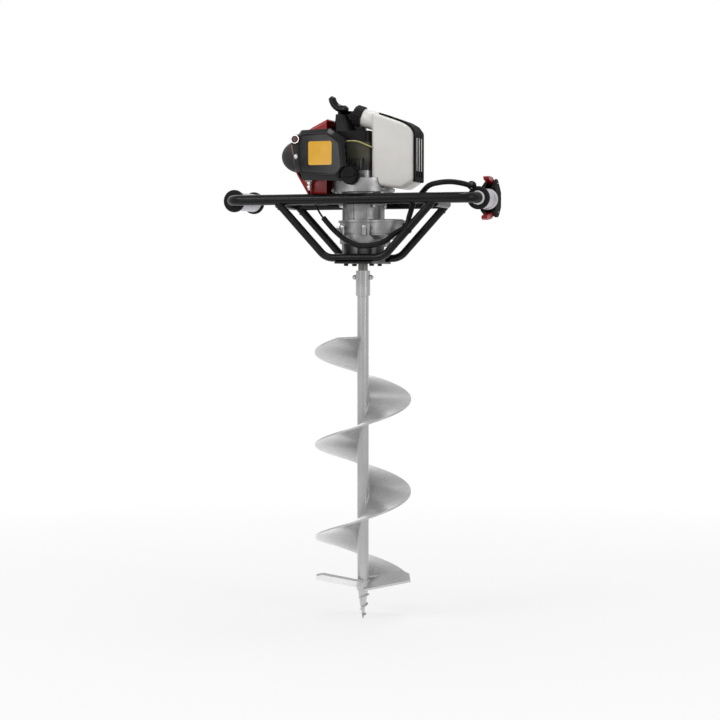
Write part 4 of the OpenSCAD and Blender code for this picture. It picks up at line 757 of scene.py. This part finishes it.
# %% Conduit, cable and fuel line
conduit_d, cable_d, line_d = 11, 4, 2.8
steps_between = 8
conduit_route = [(238, -24, 894), (238, -31, 894), (236, -42, 894), (226, -54, 897), (206, -62, 900),
                 (182, -62, 899), (158, -54, 894), (140, -42, 881), (120, -37, 858), (112, -40, 834),
                 (105.9, -45, 812.3), (82, -52, 796), (64, -60, 781), (38, -62, 774), (10, -62, 774),
                 (-18, -62, 786), (-44, -61, 807), (-66, -60, 831)]
cable_route = [(-66, -60, 831), (-70, -59.8, 835.4), (-78, -54, 845), (-88, -45, 858), (-97, -43, 872),
               (-100, -49, 882), (-100, -50, 885), (-100, -50, 888)]
line_route = [(-71, -56, 965), (-66, -56, 965), (-58, -56, 968), (-48, -54, 976), (-30, -54, 984),
              (-10, -54, 987), (8, -55, 985), (20, -54, 980), (29, -50, 976), (34, -44, 974), (37, -38, 973)]
for name, route, width, finish, node, slot in (
        ("throttle_sleeve", conduit_route, conduit_d, satin_black, "throttle_conduit", "black_plastic"),
        ("throttle_inner", cable_route, cable_d, satin_black, "throttle_cable", "black_plastic"),
        ("fuel_hose", line_route, line_d, hose_amber, "fuel_line", "fuel_hose")):
    path = smooth_path([Vector(p) * mm for p in route], steps_between)
    piece = settle(tube_mesh(name, path, width / 2), name, finish, "frame")
    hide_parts(node)

# %% [markdown]
# ## The starter handle
# The pull handle is a curved horn that fits two fingers. It is a tube along part of a circle whose ends swell
# from nearly a point to the full width within a few steps, which rounds them off. A short turned stem takes
# the rope.

# %% The starter handle
rope_x, rope_top = -50, 1046
horn_r, horn_rise, horn_d = 26, 4, 16
horn_lean, horn_from, horn_to = math.radians(70), 176, 292
horn_steps, tip_steps, tip_start = 48, 6, 0.6
stem_profile = [(0, 0.5), (4.2, 0.5), (4.6, 1.2), (4.8, 5), (6, 9), (6.4, 14), (0, 14)]
horn_x = rope_x + horn_r * math.cos(horn_lean)
z_horn = rope_top + horn_rise + horn_d / 2 + horn_r * math.sin(horn_lean)
path, swell = [], []
for i in range(horn_steps + 1):
    a = math.radians(horn_from + (horn_to - horn_from) * i / horn_steps)
    path.append(Vector((horn_x + horn_r * math.cos(a), 0, z_horn + horn_r * math.sin(a))) * mm)
    from_tip = min(i, horn_steps - i) + tip_start
    swell.append(math.sin(math.pi / 2 * min(1, from_tip / tip_steps)))
bm = bmesh.new()
bm.from_mesh(tube_mesh("starter_horn", path, horn_d / 2, swell, sides=10))
stem = turned(bm, stem_profile, 40)
bmesh.ops.translate(bm, verts=stem, vec=Vector((rope_x, 0, rope_top)) * mm)
horn = finish_bmesh(bm, "starter_horn", gloss_black, "pull")
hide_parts("starter_handle")

# %% [markdown]
# ## The rope
# The rope is laid from three strands that wind round each other. It runs from the guide in the housing to the
# handle, and it rides on no body.

# %% The rope
strands, strand_r, strand_out = 3, 0.95, 0.85
rope_shown, rope_in_stem, rope_points = 17.5, 0.5, 31
turn_per_point, rise_per_point = 0.55, 0.6
bm = bmesh.new()
for strand in range(strands):
    start = math.tau * strand / strands
    twist = [Vector((rope_x + strand_out * math.cos(start + i * turn_per_point),
                     strand_out * math.sin(start + i * turn_per_point),
                     rope_top - rope_shown + i * rise_per_point)) * mm for i in range(rope_points)]
    lay = tube_mesh("strand", twist, strand_r, sides=3)
    bm.from_mesh(lay)
    bpy.data.meshes.remove(lay)
rope = finish_bmesh(bm, "pull_rope", rope_white, None)
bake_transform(rope)
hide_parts("starter_rope")

# %% [markdown]
# ## Small fittings
# A machine is read by its small fittings. A fairing backs the rope guide. The cover's knob is a chrome ring
# round a dark red cap, and both are turned.

# %% Fairing and knob
fairing_outline = [(-57, 1006), (2, 1006), (0, 1034), (-10, 1056), (-24, 1053), (-36, 1054), (-48, 1059),
                   (-57, 1048)]
fairing_front, fairing_depth, fairing_round = 8, 16, 3
knob_out = 18.4
ring_profile = [(7, -0.6), (8.4, -0.6), (8.8, 0), (8.4, 0.6), (7.4, 0.6), (7, 0), (7, -0.6)]
cap_profile = [(0, 0.6), (5, 0.45), (6.4, 0.1), (6.8, -0.6), (0, -0.6)]


def turned_piece(name, profile, matrix, finish, body):
    bm = bmesh.new()
    verts = turned(bm, profile)
    bmesh.ops.transform(bm, verts=verts, matrix=matrix)
    return finish_bmesh(bm, name, finish, body)


bm = bmesh.new()
wall = outline_face(bm, fairing_outline, fairing_front)
pull(bm, wall, (0, fairing_depth, 0))
soften(bm, bm.edges[:], fairing_round)
finish_bmesh(bm, "rope_fairing", gloss_black, "frame")
knob_front = facing_front(*knob_at, base_front - knob_out)
turned_piece("knob_ring", ring_profile, knob_front, chrome_ring, "cover_knob")
turned_piece("knob_cap", cap_profile, knob_front, maroon_cap, "cover_knob")

# %% [markdown]
# The cover's screw has a cross recess. Two crossed blocks are taken out of a turned head. They overlap, which
# the Boolean helper allows for.

# %% The screw
head_profile = [(0, 0), (4.4, 0), (4.6, 0.5), (4.4, 1.4), (3.4, 2), (0, 2)]
head_out, head_h, recess = 11.6, 2, (4.4, 1.1, 2)
bm = bmesh.new()
head = turned(bm, head_profile, 40)
bmesh.ops.transform(bm, verts=head, matrix=facing_front(*screw_at, base_front - head_out))
bmesh.ops.recalc_face_normals(bm, faces=bm.faces)
head_mesh = mesh_from(bm, "screw_face")
bm = bmesh.new()
for spin in (0, math.pi / 2):
    block(bm, recess, facing_front(*screw_at, base_front - head_out - head_h) @ Matrix.Rotation(spin, 4, "Z"))
settle(cut_away(head_mesh, bm, "screw_face"), "screw_face", bright_steel, "frame")

# %% [markdown]
# A pale sleeve sits on the bar in front of the right grip, and a soft flange, open on its inside, ends that
# grip. Both are turned round the arm of the handlebar.

# %% Sleeve and flange
bar_y, bar_z, arm_x = -58, 869, 252
sleeve_y, flange_y = -33.4, 39.2
sleeve_profile = [(11.1, 0), (13.2, 0), (14, 0.8), (14, 5.4), (13.4, 6), (11.1, 6), (11.1, 0)]
flange_profile = [(19, 0), (19.6, 3), (21, 7), (21.6, 9.5), (21.6, 13.4), (19, 13.6)]
along_arm = Matrix.Rotation(-math.pi / 2, 4, "X")
turned_piece("bar_sleeve", sleeve_profile, at(arm_x, sleeve_y, bar_z) @ along_arm, sleeve_grey, "frame")
turned_piece("grip_flange", flange_profile, at(arm_x, flange_y, bar_z) @ along_arm, grip_rubber, "frame")

# %% [markdown]
# ## Castings
# The gear case is closed by a flange that follows the two round bores of the case. It is two discs joined by
# a Boolean, with the bores taken out of it. Its sharp level edges are then broken by a bevel.

# %% The case's rim
case_flange_r, lobe_flange_r, lay_x = 51, 45.5, 45
flange_z, flange_t, flange_w = 823.8, 4, 4


def disc(x, radius, thick):
    bm = bmesh.new()
    rod(bm, radius, thick, at(x, 0, flange_z), 96)
    return bm


def is_rim(edge):
    level = abs(edge.verts[0].co.z - edge.verts[1].co.z) < 1e-5
    return level and edge.calc_face_angle(0) > math.radians(60)


rim_mesh = mesh_from(disc(0, case_flange_r, flange_t), "case_rim")
rim_mesh = cut_away(rim_mesh, disc(lay_x, lobe_flange_r, flange_t), "case_rim", "UNION")
for x, radius in ((0, case_flange_r), (lay_x, lobe_flange_r)):
    rim_mesh = cut_away(rim_mesh, disc(x, radius - flange_w, 2 * flange_t), "case_rim")
bm = bmesh.new()
bm.from_mesh(rim_mesh)
bmesh.ops.dissolve_limit(bm, angle_limit=math.radians(1), verts=bm.verts, edges=bm.edges)
soften(bm, [edge for edge in bm.edges if is_rim(edge)], 0.8, 2)
finish_bmesh(bm, "case_rim", cast_in_shade, "frame", 30)

# %% [markdown]
# Four washer-faced screws hold the fan housing. One is made at each angle, with its axis pointing out: a
# turned washer, and a six-sided bar with softened edges for the head.

# %% The fan's screws
fan_r, fan_screw_z = 63, 889
washer_profile = [(0, -1), (4.8, -1), (4.8, 0.4), (4.3, 0.9), (0, 0.9)]
hex_r, hex_h, hex_middle = 4, 3.2, 2.4
bm = bmesh.new()
for spot in (-150, -30, 30, 150):
    outwards = (Matrix.Rotation(math.radians(spot), 4, "Z") @ at(fan_r, 0, fan_screw_z)
                @ Matrix.Rotation(math.pi / 2, 4, "Y"))
    washer = turned(bm, washer_profile, 32)
    bmesh.ops.transform(bm, verts=washer, matrix=outwards)
    head = rod(bm, hex_r, hex_h, outwards @ at(0, 0, hex_middle), 6)
    soften(bm, edges_of(bm, head), 0.4, 2)
finish_bmesh(bm, "fan_screws", bright_steel, "frame")

# %% [markdown]
# ## Weld beads
# The frame is welded tube. A bead is a thin ring with a ripple, because the welder moves the torch in small
# steps. The legs of both cradles lean outwards, so each ring is set square to its leg.

# %% Welds of the frame
bead_r, ripple_deep, ripple_step = 1.5, 0.14, 1.9
leg_ring_r, ring_points = 8.2, 56
foot_x, foot_z, top_x, hoop_z, rear_y = 61, 749, 172, 859, 58
below_bar, below_hoop = 14.5, 11


def bead(name, path, finish, body, closed=True):
    ripple = [1 + ripple_deep * math.sin(i * ripple_step) for i in range(len(path))]
    return settle(tube_mesh(name, path, bead_r, ripple, closed, sides=3), name, finish, body, 60)


def ring_path(centre, axis, radius):
    square = Vector(axis).to_track_quat("Z", "Y").to_matrix()
    angles = [math.tau * i / ring_points for i in range(ring_points)]
    return [(Vector(centre) + square @ Vector((radius * math.cos(a), radius * math.sin(a), 0))) * mm
            for a in angles]


run = (top_x - foot_x) / (bar_z - foot_z)
for side, hand in ((-1, "left"), (1, "right")):
    for end, y, z in (("front", bar_y, bar_z - below_bar), ("rear", rear_y, hoop_z - below_hoop)):
        ring = ring_path((side * (foot_x + run * (z - foot_z)), y, z), (side * run, 0, 1), leg_ring_r)
        bead("weld_" + end + "_" + hand, ring, powder_coat, "frame")

# %% [markdown]
# The same ripple follows the flight along the core, on a screw line a little outside the tube.

# %% Weld of the flight
weld_r, weld_foot, weld_steps = 12.4, 88.4, 420
helix = []
for i in range(weld_steps + 1):
    turns = flight_turns * i / weld_steps
    a = flight_start + math.tau * turns
    helix.append(Vector((weld_r * math.cos(a), weld_r * math.sin(a), weld_foot + flight_pitch * turns)) * mm)
bead("weld_flight", helix, bit_paint, "auger", closed=False)
